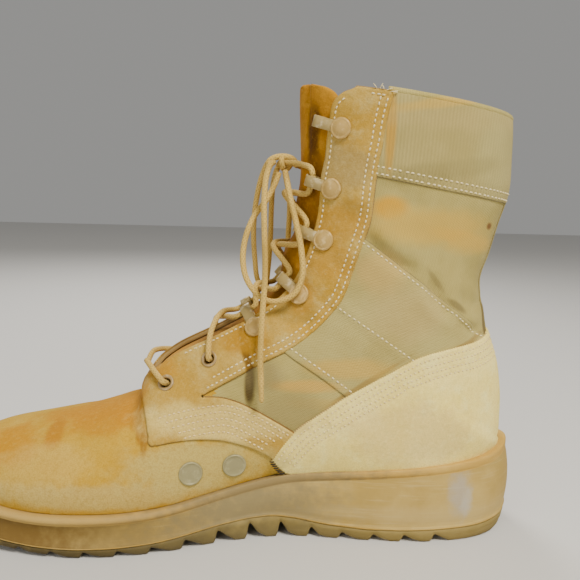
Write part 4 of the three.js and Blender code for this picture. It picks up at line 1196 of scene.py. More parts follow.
def from_flat(ab):
    return np.interp(ab[..., 0], ROWS_LENGTH, LENGTH_U), spread(np.clip(ab[..., 1] / FLAT_WIDTH, 0, 1))


def shifted(side, line, distance):
    """A line on the upper moved sideways over the surface; plus is to the left, seen from outside."""
    ab = to_flat(*np.asarray(line).T)
    step = 0.4

    def place(flat):
        return last_point(side, *from_flat(flat))

    over_a = (place(ab + (step, 0)) - place(ab - (step, 0))) / (2 * step)
    over_b = (place(ab + (0, step)) - place(ab - (0, step))) / (2 * step)
    at = place(ab)
    along = unit(np.gradient(at, axis=0))
    out = last_normal(side, *from_flat(ab))
    go = unit(np.cross(out, along)) * np.asarray(distance, float).reshape(-1, 1)
    aa, bb, cross = (over_a**2).sum(1), (over_b**2).sum(1), (over_a * over_b).sum(1)
    ga, gb = (go * over_a).sum(1), (go * over_b).sum(1)
    det = np.maximum(aa * bb - cross**2, 1e-3)
    move = np.stack([(ga * bb - gb * cross) / det, (gb * aa - ga * cross) / det], -1)
    u, tau = from_flat(ab + np.clip(move, -20, 20))
    return np.stack([u, tau], 1)


def side_line(points, step=1.3):
    """Smooth line through side-view points, as rows and taus."""
    line = resample(centripetal([(x, 0.0, z) for x, z in points], 12), step)
    return np.stack(locate(line[:, 0], line[:, 2]), 1)


def row_line(u, tau):
    return np.stack(np.broadcast_arrays(np.asarray(u, float), np.asarray(tau, float)), 1)


def nearest(points, line):
    """Distance from each point to the nearest of a line's points and pieces."""
    best = np.full(len(points), 1e9)
    for a, b in zip(line[:-1], line[1:]):
        run = b - a
        t = np.clip(((points - a) @ run) / max(run @ run, 1e-9), 0, 1)
        best = np.minimum(best, np.linalg.norm(points - a - t[:, None] * run, axis=1))
    return best


def near_lines(side, edges, rows):
    """Extra points beside the cut edges and the stitched grooves, where the form turns."""
    beside = [(line[1:-1], gap) for line, is_free in edges if is_free for gap in (0.45, -0.45, 1.3, -1.3)]
    beside += [(line, gap) for line in rows for gap in (1e-6, 0.8 + 1e-6, -0.8 + 1e-6)]
    return np.vstack([to_flat(*shifted(side, line, gap).T) for line, gap in beside])


def loose_points(flat, near):
    """Points that fill an outline: those beside its lines, and a staggered field between them."""
    a, b = np.meshgrid(*(np.arange(low, high, PANEL_STEP) for low, high in zip(flat.min(0), flat.max(0))),
                       indexing="ij")
    b = b + (np.arange(a.shape[0])[:, None] % 2) * PANEL_STEP / 2
    field = np.stack([a.ravel(), b.ravel()], 1)
    crowd = np.full(len(field), 1e9)
    for chunk in np.array_split(near, max(len(near) // 200, 1)):
        crowd = np.minimum(crowd, np.linalg.norm(field[:, None] - chunk[None], axis=2).min(1))
    loose = np.vstack([near, field[crowd > FIELD_GAP]])
    loose = loose[inside_polygon(loose[:, 0], loose[:, 1], flat)]
    loose = loose[nearest(loose, np.vstack([flat, flat[:1]])) > OUTLINE_GAP]
    order = np.unique(np.round(loose / SAME_POINT).astype(int), axis=0, return_index=True)[1]
    return loose[np.sort(order)]


def panel(shape, side, edges, base, thickness, rows=(), slot=0, cuts=(), channel=0.35, rim=1):
    """One sewn-on piece: edges is a closed run of (line, free) stretches, free where it is cut.

    Its stitched rows lie in channels, and the faces along the cut edge take the slot rim: the cut edge's
    darker colour with painted shade where panels meet."""
    free = np.concatenate([np.full(len(line) - 1, is_free) for line, is_free in edges])
    flat = to_flat(*np.vstack([line[:-1] for line, _ in edges]).T)
    loose = loose_points(flat, near_lines(side, edges, rows))
    verts, _, faces, _, _, _ = delaunay_2d_cdt(
        [Vector(p) for p in np.vstack([flat, loose])], [], [list(range(len(flat)))], 1, 1e-6)
    u, tau = from_flat(np.array([tuple(v) for v in verts]))
    faces = np.array([f for f in faces if len(f) == 3], int)
    at = last_point(side, u, tau)
    for centre, radius in cuts:
        faces = faces[np.linalg.norm(at[faces].mean(1) - centre, axis=1) > radius]
    gap = np.min([nearest(at, last_point(side, *line.T)) for line, is_free in edges if is_free], axis=0)
    on_edge = gap < 0.03
    on_edge[:len(flat)] |= free | np.roll(free, 1)
    gap[on_edge] = 0.0
    height = base + thickness * np.sqrt(1 - (1 - np.clip(gap / EDGE_ROUND, 0, 1)) ** 2)
    for line in rows:
        height -= channel * np.exp(-(nearest(at, last_point(side, *line.T)) / CHANNEL_HALF) ** 2)
    top = surface(side, u, tau, np.maximum(height, base))
    bottom = surface(side, u, tau, base - PANEL_SINK)
    uv = np.stack(cloth_lengths(side, u, tau), -1)
    p0, p1, p2 = np.moveaxis(top[faces], 1, 0)
    facing = (np.cross(p1 - p0, p2 - p0) * last_normal(side, u[faces[:, 0]], tau[faces[:, 0]])).sum(1)
    faces = np.where((facing < 0)[:, None], faces[:, ::-1], faces)
    under = np.arange(len(at)) + len(at)
    under[on_edge] = np.flatnonzero(on_edge)
    # Faces near a cut edge take the rim paint: cut-edge colour with painted shade.
    slots = np.where(gap[faces].max(1) < RIM_WIDTH, rim, slot)
    shape.add(np.vstack([top, bottom]), list(faces) + list(under[faces][:, ::-1]),
              np.vstack([uv, uv]), np.concatenate([slots, np.full(len(faces), slot)]))


# Lines of the panels in side view, as x and z.
EYESTAY_REAR = [
    (76.1, 233.1), (78.4, 222), (79.8, 210.1), (81.7, 198.1), (82.8, 185), (84, 170.8),
    (86.6, 161.1), (90.9, 146.6), (96.3, 131.1), (104.6, 120.1), (113, 111.7), (123.6, 103.9),
    (138.0, 96.4), (150.6, 88.6), (167.6, 78.8),
]
SADDLE_TOP = [(167.6, 78.8), (158, 78.9), (149.6, 77), (141, 73.4), (132.4, 68.9), (120.6, 62),
              (112, 56)]
SADDLE_LOW = [(118, 33), (125.7, 37.2), (129.9, 44.2), (135.5, 48.6), (143.5, 52.2), (156.9, 55.9),
              (171.8, 57.0), (184, 56.3), (190.5, 55.4)]
SADDLE_CORNER = [(190.5, 55.4), (192.8, 55.6), (194.2, 57.1), (194.6, 60)]
SADDLE_FRONT = [(194.6, 60), (195.6, 65), (197.2, 70.5), (199.3, 75.5)]
COUNTER_TOP = [
    (131.6, 44.6), (128.2, 50.5), (122.5, 58.5), (116.5, 64.8), (109.4, 70.2), (94.6, 80.8),
    (72, 94), (57, 102.3), (42, 106.4), (24, 109.5), (12, 112.6),
]
STRAP_TOP = [(94, 167.5), (84.1, 160.9), (50, 136.2), (16.2, 110.6), (10, 106.2)]
STRAP_LOW = [(132, 108), (124.5, 101.9), (108.5, 91.5), (92.5, 80.2), (84, 74.5)]
STRAP_MIDDLE = [(101, 128.8), (97, 126), (79, 114), (60.8, 101.7), (54, 97)]
BAND_LOW = [(87, 193.9), (81.7, 193.1), (60, 189.4), (40, 186.2), (20, 183.1), (4.4, 180.9)]

RIDGE_START = 9.55
THROAT_START = 10.0
EYESTAY_THICK = 1.5
COUNTER_THICK = 1.7
COUNTER_BASE = 0.3
COUNTER_BACK_ROW = 25.32
COUNTER_FRONT_ROW = 13.2
STRAP_THICK = 0.8
BAND_THICK = 0.8
BAND_BACK_Z = 186.6
BAND_FRONT_X = 84.0
BACKSTAY_HALF = 11.0
BACKSTAY_ROWS = (25.0, 30.4)


def tau_on_row(u, x):
    s = section_at(u)
    return (s[FRONT_X] - x) / (s[FRONT_X] - s[BACK_X])


def joined(*lines):
    return np.vstack([lines[0]] + [line[1:] for line in lines[1:]])


def eyestay_edges():
    """Outline of the eyestay and saddle, cut as one piece, from the ridge up the throat and back."""
    throat_u = np.linspace(THROAT_START, COLLAR_ROW, 190)
    throat_line = row_line(throat_u, throat(throat_u))
    rear = side_line(EYESTAY_REAR)
    collar_tau = np.linspace(float(throat(COLLAR_ROW)), rear[0, 1], 16)
    collar_line = row_line(COLLAR_ROW, collar_tau)
    rear[0] = collar_line[-1]
    top = side_line(SADDLE_TOP)
    top[0] = rear[-1]
    low = side_line(SADDLE_LOW)
    hidden = np.linspace(top[-1], low[0], 12)
    corner = side_line(SADDLE_CORNER)
    front = side_line(SADDLE_FRONT)
    to_ridge = np.linspace(front[-1], (RIDGE_START, 0.0), 10)
    ridge = np.linspace((RIDGE_START, 0.0), (THROAT_START, 0.0), 4)
    corner[0], front[0] = low[-1], corner[-1]
    return [(throat_line, True), (collar_line, True), (rear, True), (top, True), (hidden, False),
            (low, True), (corner, True), (joined(front, to_ridge), True), (ridge, False)]


def counter_edges():
    top = np.vstack([side_line(COUNTER_TOP), (COUNTER_BACK_ROW, 1.0)])
    back = row_line(np.linspace(COUNTER_BACK_ROW, FIRST_BACK_ROW, 26), 1.0)
    foot = row_line(np.linspace(FIRST_BACK_ROW, COUNTER_FRONT_ROW, 60), 1.0)
    front = np.linspace(foot[-1], top[0], 8)
    return [(top, True), (back, False), (foot, False), (front, True)]


def strap_edges():
    top, low = side_line(STRAP_TOP), side_line(STRAP_LOW)
    return [(top, True), (np.linspace(top[-1], low[-1], 26), False), (low[::-1], True),
            (np.linspace(low[0], top[0], 30), False)]


def band_edges():
    back_u = float(np.interp(BAND_BACK_Z, SECTION_ROWS[FIRST_BACK_ROW:, BACK_Z],
                             np.arange(FIRST_BACK_ROW, len(SECTIONS))))
    low = np.vstack([side_line(BAND_LOW), (back_u, 1.0)])
    back = row_line(np.linspace(back_u, COLLAR_ROW, 22), 1.0)
    top = row_line(COLLAR_ROW, np.linspace(1.0, float(tau_on_row(COLLAR_ROW, BAND_FRONT_X)), 60))
    return [(low, True), (back, False), (top, True), (np.linspace(top[-1], low[0], 20), False)]


def backstay_edges():
    """A strip down the back seam, from under the collar band to under the counter."""
    u = np.linspace(*BACKSTAY_ROWS, 50)
    taus = np.linspace(0.6, 1, 300)
    line = []
    for row in u:
        over, _ = cloth_lengths(1, np.full(300, row), taus)
        line.append((row, np.interp(over[-1] - BACKSTAY_HALF, over, taus)))
    line = np.array(line)
    back = row_line(u[::-1], 1.0)
    return [(line, True), (np.linspace(line[-1], back[0], 6), False), (back, False),
            (np.linspace(back[-1], line[0], 6), False)]


SADDLE_ROW = [(193.6, 66.5), (186, 69.2), (176, 71.6), (165, 73.7), (156, 74.6), (148, 73.2),
              (140, 69.8), (131.6, 65.2), (120.5, 58.6)]
SADDLE_ROW_GAP = 3.3
COUNTER_ROW_GAP = 3.4


def inset(side, line, distance, toward):
    """A line moved over the surface towards a side-view point."""
    both = [shifted(side, line, distance * sign) for sign in (1, -1)]
    gaps = [np.linalg.norm(last_point(side, *moved.T)[:, [0, 2]] - toward, axis=1).mean() for moved in both]
    return both[int(gaps[1] < gaps[0])]


def sewn_rows(side):
    """Every row of stitches on one side, by the layer that it holds."""
    rear, saddle, counter, strap_top, strap_low, band_low = (side_line(points) for points in (
        EYESTAY_REAR, SADDLE_ROW, COUNTER_TOP, STRAP_TOP, STRAP_LOW, BAND_LOW))
    throat_u = np.linspace(13.5, COLLAR_ROW, 170)
    edge = row_line(throat_u, throat(throat_u))
    collar = row_line(COLLAR_ROW, np.linspace(float(throat(COLLAR_ROW)), rear[0, 1], 14))
    return {
        "eyestay": [inset(side, rear[2:-2], 2.6, (120, 180)), inset(side, rear[2:-6], 6.0, (120, 180)),
                    inset(side, edge[:-7], 3.2, (60, 150)), inset(side, collar[5:-2], 3.0, (80, 100))],
        "saddle": [inset(side, saddle[3 + 2 * i:len(saddle) - 2 - i], SADDLE_ROW_GAP * i + 0.01, (160, 0))
                   for i in range(5)],
        "counter": [inset(side, counter[2:], 3.0 + COUNTER_ROW_GAP * i, (20, 0)) for i in range(4)],
        "strap": [inset(side, strap_top, 2.2, (110, 60)), side_line(STRAP_MIDDLE),
                  inset(side, strap_low, 4.0, (60, 200))],
        "band": [inset(side, band_low, gap, (50, 400)) for gap in (1.8, 5.2)],
    }


STITCH_RINGS = 7
STITCH_SIDES = 6


def stitch_form(length, radius):
    """One stitch along X: a short thread that dives into the leather at both ends."""
    x = np.linspace(-0.5, 0.5, STITCH_RINGS)
    fat = np.sqrt(np.clip(1 - (2 * np.abs(x)) ** 3, 0, 1)) * 0.9 + 0.12
    around = full_turn(STITCH_SIDES)
    sink = -1.1 * radius * (2 * x) ** 2
    points = np.stack([
        np.repeat(x * length, STITCH_SIDES),
        (fat[:, None] * np.cos(around) * radius).ravel(),
        (sink[:, None] + fat[:, None] * np.sin(around) * radius).ravel(),
    ], -1)
    return points, tube_faces(STITCH_RINGS, STITCH_SIDES)


CHANCE = np.random.default_rng(7)


def add_stitches(shape, side, line, height, pitch, share, radius, slot, skew=0.0):
    """Stitches laid one after another along a line on the upper."""
    at = surface(side, *line.T, height)
    walked = walk(at)
    places = np.arange(pitch / 2, walked[-1], pitch)
    if len(places) == 0:
        return
    places = places + CHANCE.normal(0, 0.05 * pitch, len(places))
    centre = sample(places, walked, at)
    normal = unit(sample(places, walked, last_normal(side, *line.T)))
    along = unit(sample(places + 0.4, walked, at) - sample(places - 0.4, walked, at))
    turn = (skew + CHANCE.normal(0, 0.06, len(places)))[:, None]
    along = unit(along * np.cos(turn) + np.cross(normal, along) * np.sin(turn))
    across = np.cross(normal, along)
    form, faces = stitch_form(pitch * share, radius)
    points = (centre[:, None] + along[:, None] * form[None, :, :1] + across[:, None] * form[None, :, 1:2]
              + normal[:, None] * form[None, :, 2:])
    for stitch in points:
        shape.add(stitch, faces, slot=slot)


# Loose thread ends at the front of the collar. Columns: row, tau, reach along the boot, up.
FRAYED = [
    (32.96, 0.33, 1.5, 1.9), (32.97, 0.345, -1.2, 2.2), (32.95, 0.36, 0.8, 1.6),
    (32.9, 0.372, -2.6, 0.9), (32.8, 0.385, -3.6, 0.4), (32.85, 0.39, -3.0, -0.4),
]
FRAYED_RADIUS = 0.22


def add_frayed_ends(shape, side):
    around = full_turn(5)
    for u, tau, reach, rise in FRAYED:
        root = surface(side, u, tau, EYESTAY_THICK)
        out = last_normal(side, u, tau)
        line = centripetal([root - out * 0.3, root + out * 0.5 + (reach * 0.4, 0, rise * 0.5),
                            root + out * 0.6 + (reach, 0, rise)], 5)
        _, first, second = frames_along(line)
        ring = rings_along(first, second, around) * FRAYED_RADIUS
        shape.add(line[:, None] + ring, grid_faces(len(line), len(around), True, wrap=True))


# Bar tacks where counter, saddle and vamp meet, in near-black thread that paints the shade of the notch
# there. Side view.
TACKS = [(131.2, 45.4), (128.4, 40.6), (124.6, 36.6)]
EYELET_CUT = 3.15

# Columns: rows, height over the last, pitch, share of the pitch sewn, radius, number of the thread.
STITCHING = [
    ("eyestay", EYESTAY_THICK - 0.05, 2.7, 0.70, 0.42, 0),
    ("saddle", EYESTAY_THICK - 0.05, 2.5, 0.66, 0.46, 1),
    ("counter", COUNTER_THICK + 0.2, 2.4, 0.64, 0.46, 2),
    ("strap", STRAP_THICK, 2.9, 0.68, 0.42, 0),
    ("band", BAND_THICK, 2.9, 0.66, 0.42, 0),
]


def add_upper_panels(paints):
    """Every sewn-on layer of both sides, and the stitches that hold them."""
    eyestay, counter, strap, band = Shape(), Shape(), Shape(), Shape()
    for name, side in SIDES:
        cuts = [(at, EYELET_CUT) for _, at in SEATS[name][:EYELETS]]
        rows = sewn_rows(side)
        panel(strap, side, strap_edges(), 0.0, STRAP_THICK, rows["strap"], channel=0.2)
        panel(band, side, backstay_edges(), 0.0, STRAP_THICK, rim=2)
        panel(band, side, band_edges(), 0.0, BAND_THICK, rows["band"], slot=1, channel=0.25, rim=2)
        panel(eyestay, side, eyestay_edges(), 0.0, EYESTAY_THICK,
              rows["eyestay"] + rows["saddle"], cuts=cuts)
        panel(counter, side, counter_edges(), COUNTER_BASE, COUNTER_THICK, rows["counter"])

        threads = Shape()
        for kind, height, pitch, share, radius, slot in STITCHING:
            for line in rows[kind]:
                add_stitches(threads, side, line, height, pitch, share, radius, slot)
        add_stitches(threads, side, side_line(TACKS, 0.8), COUNTER_THICK + 0.3, 1.7, 2.0, 0.4, 3, 1.1)
        add_frayed_ends(threads, side)
        made = threads.build(f"stitches_{name}", [paints["thread"], paints["thread_pale"],
                                                  paints["thread_tan"], paints["tack_thread_shade"]])

    piece = strap.build("ankle_strap", [paints["canvas_strap"], paints["canvas_edge_and_shade"]])
    piece = band.build("collar_band", [paints["canvas"], paints["canvas_band"], paints["canvas_edge_and_shade"]],
                       weld=WELD)
    piece = eyestay.build("eyestay_and_saddle", [paints["suede_pale"], paints["suede_edge_and_shade"]], weld=WELD)
    piece = counter.build("counter_panel", [paints["suede_counter"], paints["counter_edge_and_shade"]], weld=WELD)
    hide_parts("heel_counter")


COLLAR_ROLL = 1.75
ROLL_FRONT_X = 79.0
ROLL_SINK = 0.7


def add_collar_roll(paint):
    """The collar's fabric turned over its top edge, from one eyestay round the back to the other."""
    shape = Shape()
    taus = np.linspace(float(tau_on_row(COLLAR_ROW, ROLL_FRONT_X)), 1.0, 80)
    tau = np.concatenate([taus, taus[::-1][1:]])
    side = np.repeat([1, -1], [len(taus), len(taus) - 1])
    line = surface(side, COLLAR_ROW, tau, -ROLL_SINK)
    out = last_normal(side, COLLAR_ROW, tau)
    up = unit(last_point(side, COLLAR_ROW, tau) - last_point(side, COLLAR_ROW - 0.4, tau))
    turn = np.linspace(-0.35 * math.pi, 1.35 * math.pi, 18)
    ring = rings_along(out, up, turn, COLLAR_ROLL - 0.1, COLLAR_ROLL)
    uv = np.stack(np.broadcast_arrays(walk(line)[:, None], turn[None] * COLLAR_ROLL), -1)
    shape.add(line[:, None] + ring, tube_faces(len(line), len(turn), True), uv)
    piece = shape.build("collar_roll", [paint])


# Columns: row of the last, half width as tau.
TONGUE_WIDTH = np.array([
    (10.2, 0.05), (11, 0.10), (12, 0.13), (14, 0.15), (17, 0.17), (20, 0.21), (24, 0.27),
    (28, 0.30), (29.5, 0.26), (30.8, 0.19), (31.9, 0.145), (32.6, 0.10), (32.95, 0.04),
])
TONGUE_FACE = -3.8
TONGUE_THICK = 2.4
TONGUE_SOFT = 1.1
TONGUE_TOP_ROW = 32.5
# Folds of the tongue. Columns: row, signed millimetres from the ridge, half rows, half width, depth.
TONGUE_FOLDS = [
    (31.0, 10.0, 3.6, 3.4, -2.8), (29.2, 2.5, 3.5, 4.5, 1.2), (28.0, -11.0, 4.0, 5.0, -1.4),
    (21.5, 4.0, 1.1, 9.0, 2.2), (18.2, -2.0, 0.9, 9.0, 1.8), (24.6, -4.0, 1.2, 9.0, 1.6),
    (23.0, 2.0, 0.7, 10.0, -1.5), (19.8, 0.0, 0.7, 10.0, -1.5), (16.4, 0.0, 0.7, 9.0, -1.0),
]


def add_tongue(paint):
    shape = Shape()
    u = np.linspace(TONGUE_WIDTH[0, 0], TONGUE_WIDTH[-1, 0], 190)
    share = np.linspace(-1, 1, 47)
    tau = np.abs(share)[None] * np.interp(u, *TONGUE_WIDTH.T)[:, None]
    uu = np.broadcast_to(u[:, None], tau.shape)
    side = np.where(share >= 0, 1, -1)[None] * np.ones(tau.shape)
    uv = np.stack(cloth_lengths(side, uu, tau), -1)
    lift = np.zeros(tau.shape)
    for row, across, half_rows, wide, depth in TONGUE_FOLDS:
        lift += depth * np.exp(-((uu - row) / half_rows) ** 2 - ((uv[..., 0] - across) / wide) ** 2)
    near_top = np.clip((uu - TONGUE_TOP_ROW) / 0.45, 0, 1)
    soft = TONGUE_SOFT * np.maximum(np.abs(share)[None] ** 9, near_top ** 3)
    rows, columns = tau.shape
    at, out = last_point(side, uu, tau), last_normal(side, uu, tau)
    for height, flip in ((TONGUE_FACE + lift - soft, False),
                         (TONGUE_FACE - TONGUE_THICK + lift + soft, True)):
        shape.add(at + out * height[..., None], grid_faces(rows, columns, flip=flip), uv)
    number = np.arange(rows * columns).reshape(rows, columns)
    rim = np.concatenate([number[0], number[1:, -1], number[-1, -2::-1], number[-2:0:-1, 0]])
    after, under = np.roll(rim, -1), rows * columns
    shape.close(np.stack([after, rim, rim + under, after + under], 1))
    piece = shape.build("tongue_leather", [paint])
    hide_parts("tongue")


# ---------------------------------------------------------------------------
# Sole
# ---------------------------------------------------------------------------

# Lip of the midsole. Columns: drop below the rim, growth.
MIDSOLE_LIP = [(4.3, -0.3), (3.8, 0.25), (3.3, 0.85), (2.6, 1.2), (1.9, 1.25), (1.2, 1.0), (0.6, 0.5),
               (0.15, -0.4), (0.0, -1.5), (0.15, -2.6), (0.4, -4.6)]
WALL_SHARES = np.linspace(0, 1, 12)
WALL_FOOT_GROW, WALL_FOOT_RISE = 0.9, 2.2
WALL_HEAD_GROW, WALL_HEAD_DROP = -0.3, 4.8
RIM_EASE = 4.0
TREAD_EASE = 3.0
RIB_EASE = 0.42
MIDSOLE_POINTS = 720
INSOLE_POINTS = 240
# Bead round the foot of the wall. Columns: rise over the tread, growth.
BEAD = [(0.0, 0.9), (0.5, 1.45), (1.1, 1.6), (1.7, 1.15)]


def lip_share(x):
    """How proud the lip stands: nearly flush round the heel and along the arch."""
    return np.interp(x, [0, 45, 90, 130, 165, 195, 300], [0.0, 0.45, 0.55, 0.25, 0.4, 1.0, 0.9])


def wall_bulge(x):
    """How far the middle of the midsole's wall stands out: full at the heel, hollow at the ball."""
    return np.interp(x, [60, 120, 170, 230, 300], [1.5, 0.9, -0.5, -1.5, -1.0])


def strips_across(count, start, flip):
    """Faces that fill a ring of points, from the heel to the toe."""
    i = np.arange(count // 2)
    quads = start + np.stack([i, i + 1, count - 1 - i, (count - i) % count], 1)
    faces = [quads[0][:3], *quads[1:-1], quads[-1][[0, 1, 3]]]
    return [face[::-1] for face in faces] if flip else faces


def add_midsole(wall_paint, lip_paint):
    count = MIDSOLE_POINTS
    turn = np.linspace(0, 2 * TOE_TURN, count, endpoint=False)
    x0 = outline_x(turn)
    rim, tread = smoothed(x0, rim_z, RIM_EASE), smoothed(x0, tread_z, TREAD_EASE)
    bulge, proud = wall_bulge(x0), lip_share(x0)
    rings = [(tread + rise, np.full(count, grow)) for rise, grow in BEAD]
    wall_low, wall_high = tread + WALL_FOOT_RISE, rim - WALL_HEAD_DROP
    for share in WALL_SHARES:
        grow = (WALL_FOOT_GROW + (WALL_HEAD_GROW - WALL_FOOT_GROW) * share**2
                + bulge * math.sin(math.pi * share) ** 0.8)
        rings.append((wall_low + (wall_high - wall_low) * share, grow))
    rings += [(rim - drop, grow * proud + min(grow, -0.2) * (1 - proud)) for drop, grow in MIDSOLE_LIP]
    points = [np.column_stack([outline(turn, grow), height]) for height, grow in rings]
    uv = [np.column_stack([np.arange(count) * 1.1, height]) for height, _ in rings]
    shape = Shape()
    ring = np.repeat(np.arange(len(rings) - 1), count)
    in_bead, in_lip = ring < 2, ring >= len(BEAD) + len(WALL_SHARES) - 1
    shape.add(np.vstack(points), grid_faces(len(rings), count, wrap=True), np.vstack(uv),
              (in_bead | in_lip).astype(int))
    shape.close(strips_across(count, 0, True))
    shape.close(strips_across(count, (len(rings) - 1) * count, False))
    piece = shape.build("midsole_rubber", [wall_paint, lip_paint])
    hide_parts("midsole")


def tread_profile(x):
    """Underside of the ribs: a steep rear face, a rounded tip and a long front slope."""
    line = [(t, ground_z(t)) for t in (-14, -9, -6.5, -4, 1, 7)] + [(FIRST_NOTCH_X - 9, 0.0)]
    for i, notch in enumerate(NOTCH_Z):
        at = FIRST_NOTCH_X + RIB_PITCH * i
        tip = ground_z(at + RIB_REAR_SLOPE)
        line += [(at - 0.8, notch - 0.15), (at, notch), (at + RIB_REAR_SLOPE, tip),
                 (at + RIB_FLAT, ground_z(at + RIB_FLAT)),
                 (at + 0.5 * (RIB_FLAT + RIB_PITCH), tip + 0.35 * (notch - tip))]
    line.append((316, 12.4))
    return np.maximum(smoothed(x, lambda at: np.interp(at, *np.array(line).T), RIB_EASE, 0.1), 0.0)


# Cross-section of the outsole's flank. Columns: share of the flank from its top, growth.
FLANK = [(0.0, 1.0), (0.3, 1.1), (0.6, 0.7), (0.85, 0.1), (0.97, -0.8), (1.0, -2.0)]
OUTSOLE_END = 6.0
OUTSOLE_SECTIONS = 900
OUTSOLE_TOP_GAP = 0.25

# Rings of the insole's edge. Columns: growth beyond the feather line, rise.
INSOLE_EDGE = [(-5.8, 0.1), (-5.6, 1.6), (-6.2, 2.6), (-7.6, 3.0)]
# Rings of its dished top. Columns: share of the last edge ring's width, rise.
INSOLE_DISH = [(0.9, 2.9), (0.7, 2.6), (0.4, 2.4), (0.1, 2.4)]


def add_outsole(paint):
    low, high = outline(np.array([0.0, TOE_TURN]), np.array([1.0, 1.0]))[:, 0]
    x = low + (high - low) * np.linspace(0, 1, OUTSOLE_SECTIONS)
    x = np.where(x < low + OUTSOLE_END, low + OUTSOLE_END * ((x - low) / OUTSOLE_END) ** 2, x)
    x = np.where(x > high - OUTSOLE_END, high - OUTSOLE_END * ((high - x) / OUTSOLE_END) ** 2, x)
    bottom, top = tread_profile(x), tread_z(x) - OUTSOLE_TOP_GAP
    medial, lateral = ([np.column_stack([x, side * half_width(side, x, grow), top + (bottom - top) * share])
                        for share, grow in FLANK] for side in (1, -1))
    y0, y1 = medial[-1][:, 1], lateral[-1][:, 1]
    across = [np.column_stack([x, y0 + (y1 - y0) * share, bottom]) for share in np.linspace(0, 1, 12)[1:-1]]
    section = np.stack(medial + across + lateral[::-1], 1)
    shape = Shape()
    shape.add(section, tube_faces(*section.shape[:2], True), section[..., :2])
    piece = shape.build("outsole_ribs", [paint])
    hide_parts("outsole")


def add_insole(paint):
    """Cushioned insole, slightly dished, with a soft edge."""
    count = INSOLE_POINTS
    turn = np.linspace(0, 2 * TOE_TURN, count, endpoint=False)
    x0 = outline_x(turn)
    base = smoothed(x0, rim_z, RIM_EASE) + CLEARANCE
    rings = [np.column_stack([outline(turn, grow - feather_inset(x0)), base + rise])
             for grow, rise in INSOLE_EDGE]
    x, y, _ = rings[-1].T
    rings += [np.column_stack([x, y * shrink, base + rise]) for shrink, rise in INSOLE_DISH]
    shape = Shape()
    shape.add(np.vstack(rings), grid_faces(len(rings), count, wrap=True))
    shape.close(strips_across(count, 0, True)[1:-1])
    shape.close(strips_across(count, (len(rings) - 1) * count, False)[1:-1])
    piece = shape.build("insole_cushion", [paint])
    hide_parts("insole")


# ---------------------------------------------------------------------------
# Hardware
# ---------------------------------------------------------------------------


def lathe(profile, segments, closed=False):
    """Points and faces of a turned part about Z from (radius, height) pairs.

    A closed profile goes once round a ring; an open one is a solid disc."""
    turn = full_turn(segments)
    profile = [*profile, profile[0]] if closed else profile
    r, h = np.array(profile, float).T[..., None]
    points = np.stack(np.broadcast_arrays(r * np.cos(turn), r * np.sin(turn), h), -1)
    count = len(profile) - 1 if closed else len(profile)
    if closed:
        faces = grid_faces(len(profile), segments, wrap=True) % (count * segments)
    else:
        faces = tube_faces(count, segments)
    return points[:count].reshape(-1, 3), faces


# Outlines of the turned parts, as radius and height.
RIVET_CAP = [(4.9, 1.3), (5.3, 1.6), (5.4, 2.1), (5.25, 2.7), (4.9, 3.05), (4.5, 3.1), (4.2, 3.0),
             (3.9, 3.1), (3.0, 3.5), (1.8, 3.75), (0.3, 3.85)]
EYELET = [(2.6, -2.4), (3.2, -2.4), (3.2, 1.3), (4.25, 1.35), (4.4, 1.65), (4.2, 2.05), (3.8, 2.25),
          (3.2, 2.2), (2.75, 1.95), (2.6, 1.6)]
VENT = [(6.3, -0.3), (6.35, 0.2), (6.2, 0.75), (5.85, 1.05), (5.45, 1.0), (5.15, 0.72), (4.9, 0.6),
        (3.0, 0.72), (0.3, 0.78)]
# Places of the drain vents in side view.
VENTS = [(172.8, 40.2), (150.6, 42.6)]


def strip_path():
    """Middle line of the metal strip: out over the leather, round the lace and back under it."""
    middle = LOOP_BORE + LOOP_STRIP / 2
    x0, _, z0 = LOOP_CENTRE
    path = [(2.5, 2.0), (7.5, 2.0), (x0 - 2.0, 1.75)]
    for degrees in range(80, -171, -14):
        turn = math.radians(degrees)
        path.append((x0 + middle * math.cos(turn), z0 + middle * math.sin(turn)))
    path += [(x0 - 4.2, z0 - 1.9), (x0 - 6.2, z0 - 1.7)]
    return np.array(path)


def strip_mesh():
    path = resample(strip_path(), 0.55)
    along = unit(np.gradient(path, axis=0))
    side = np.stack([-along[:, 1], along[:, 0]], 1)
    half_wide, half_thick, soft = LOOP_WIDTH / 2, LOOP_STRIP / 2, 0.3
    ring = []
    for sign_w, sign_t in ((1, 1), (-1, 1), (-1, -1), (1, -1)):
        corner = [(half_wide, half_thick - soft), (half_wide - soft, half_thick)]
        corner = corner if sign_w * sign_t > 0 else corner[::-1]
        ring += [(w * sign_w, t * sign_t) for w, t in corner]
    points = np.array([[(p[0] + n[0] * t, w, p[1] + n[1] * t) for w, t in ring]
                       for p, n in zip(path, side)])
    return points.reshape(-1, 3), tube_faces(len(path), len(ring))


def add_part(shape, frame_at, part, slot=0):
    points, faces = part
    shape.add(in_seat(frame_at, points), faces, slot=slot)


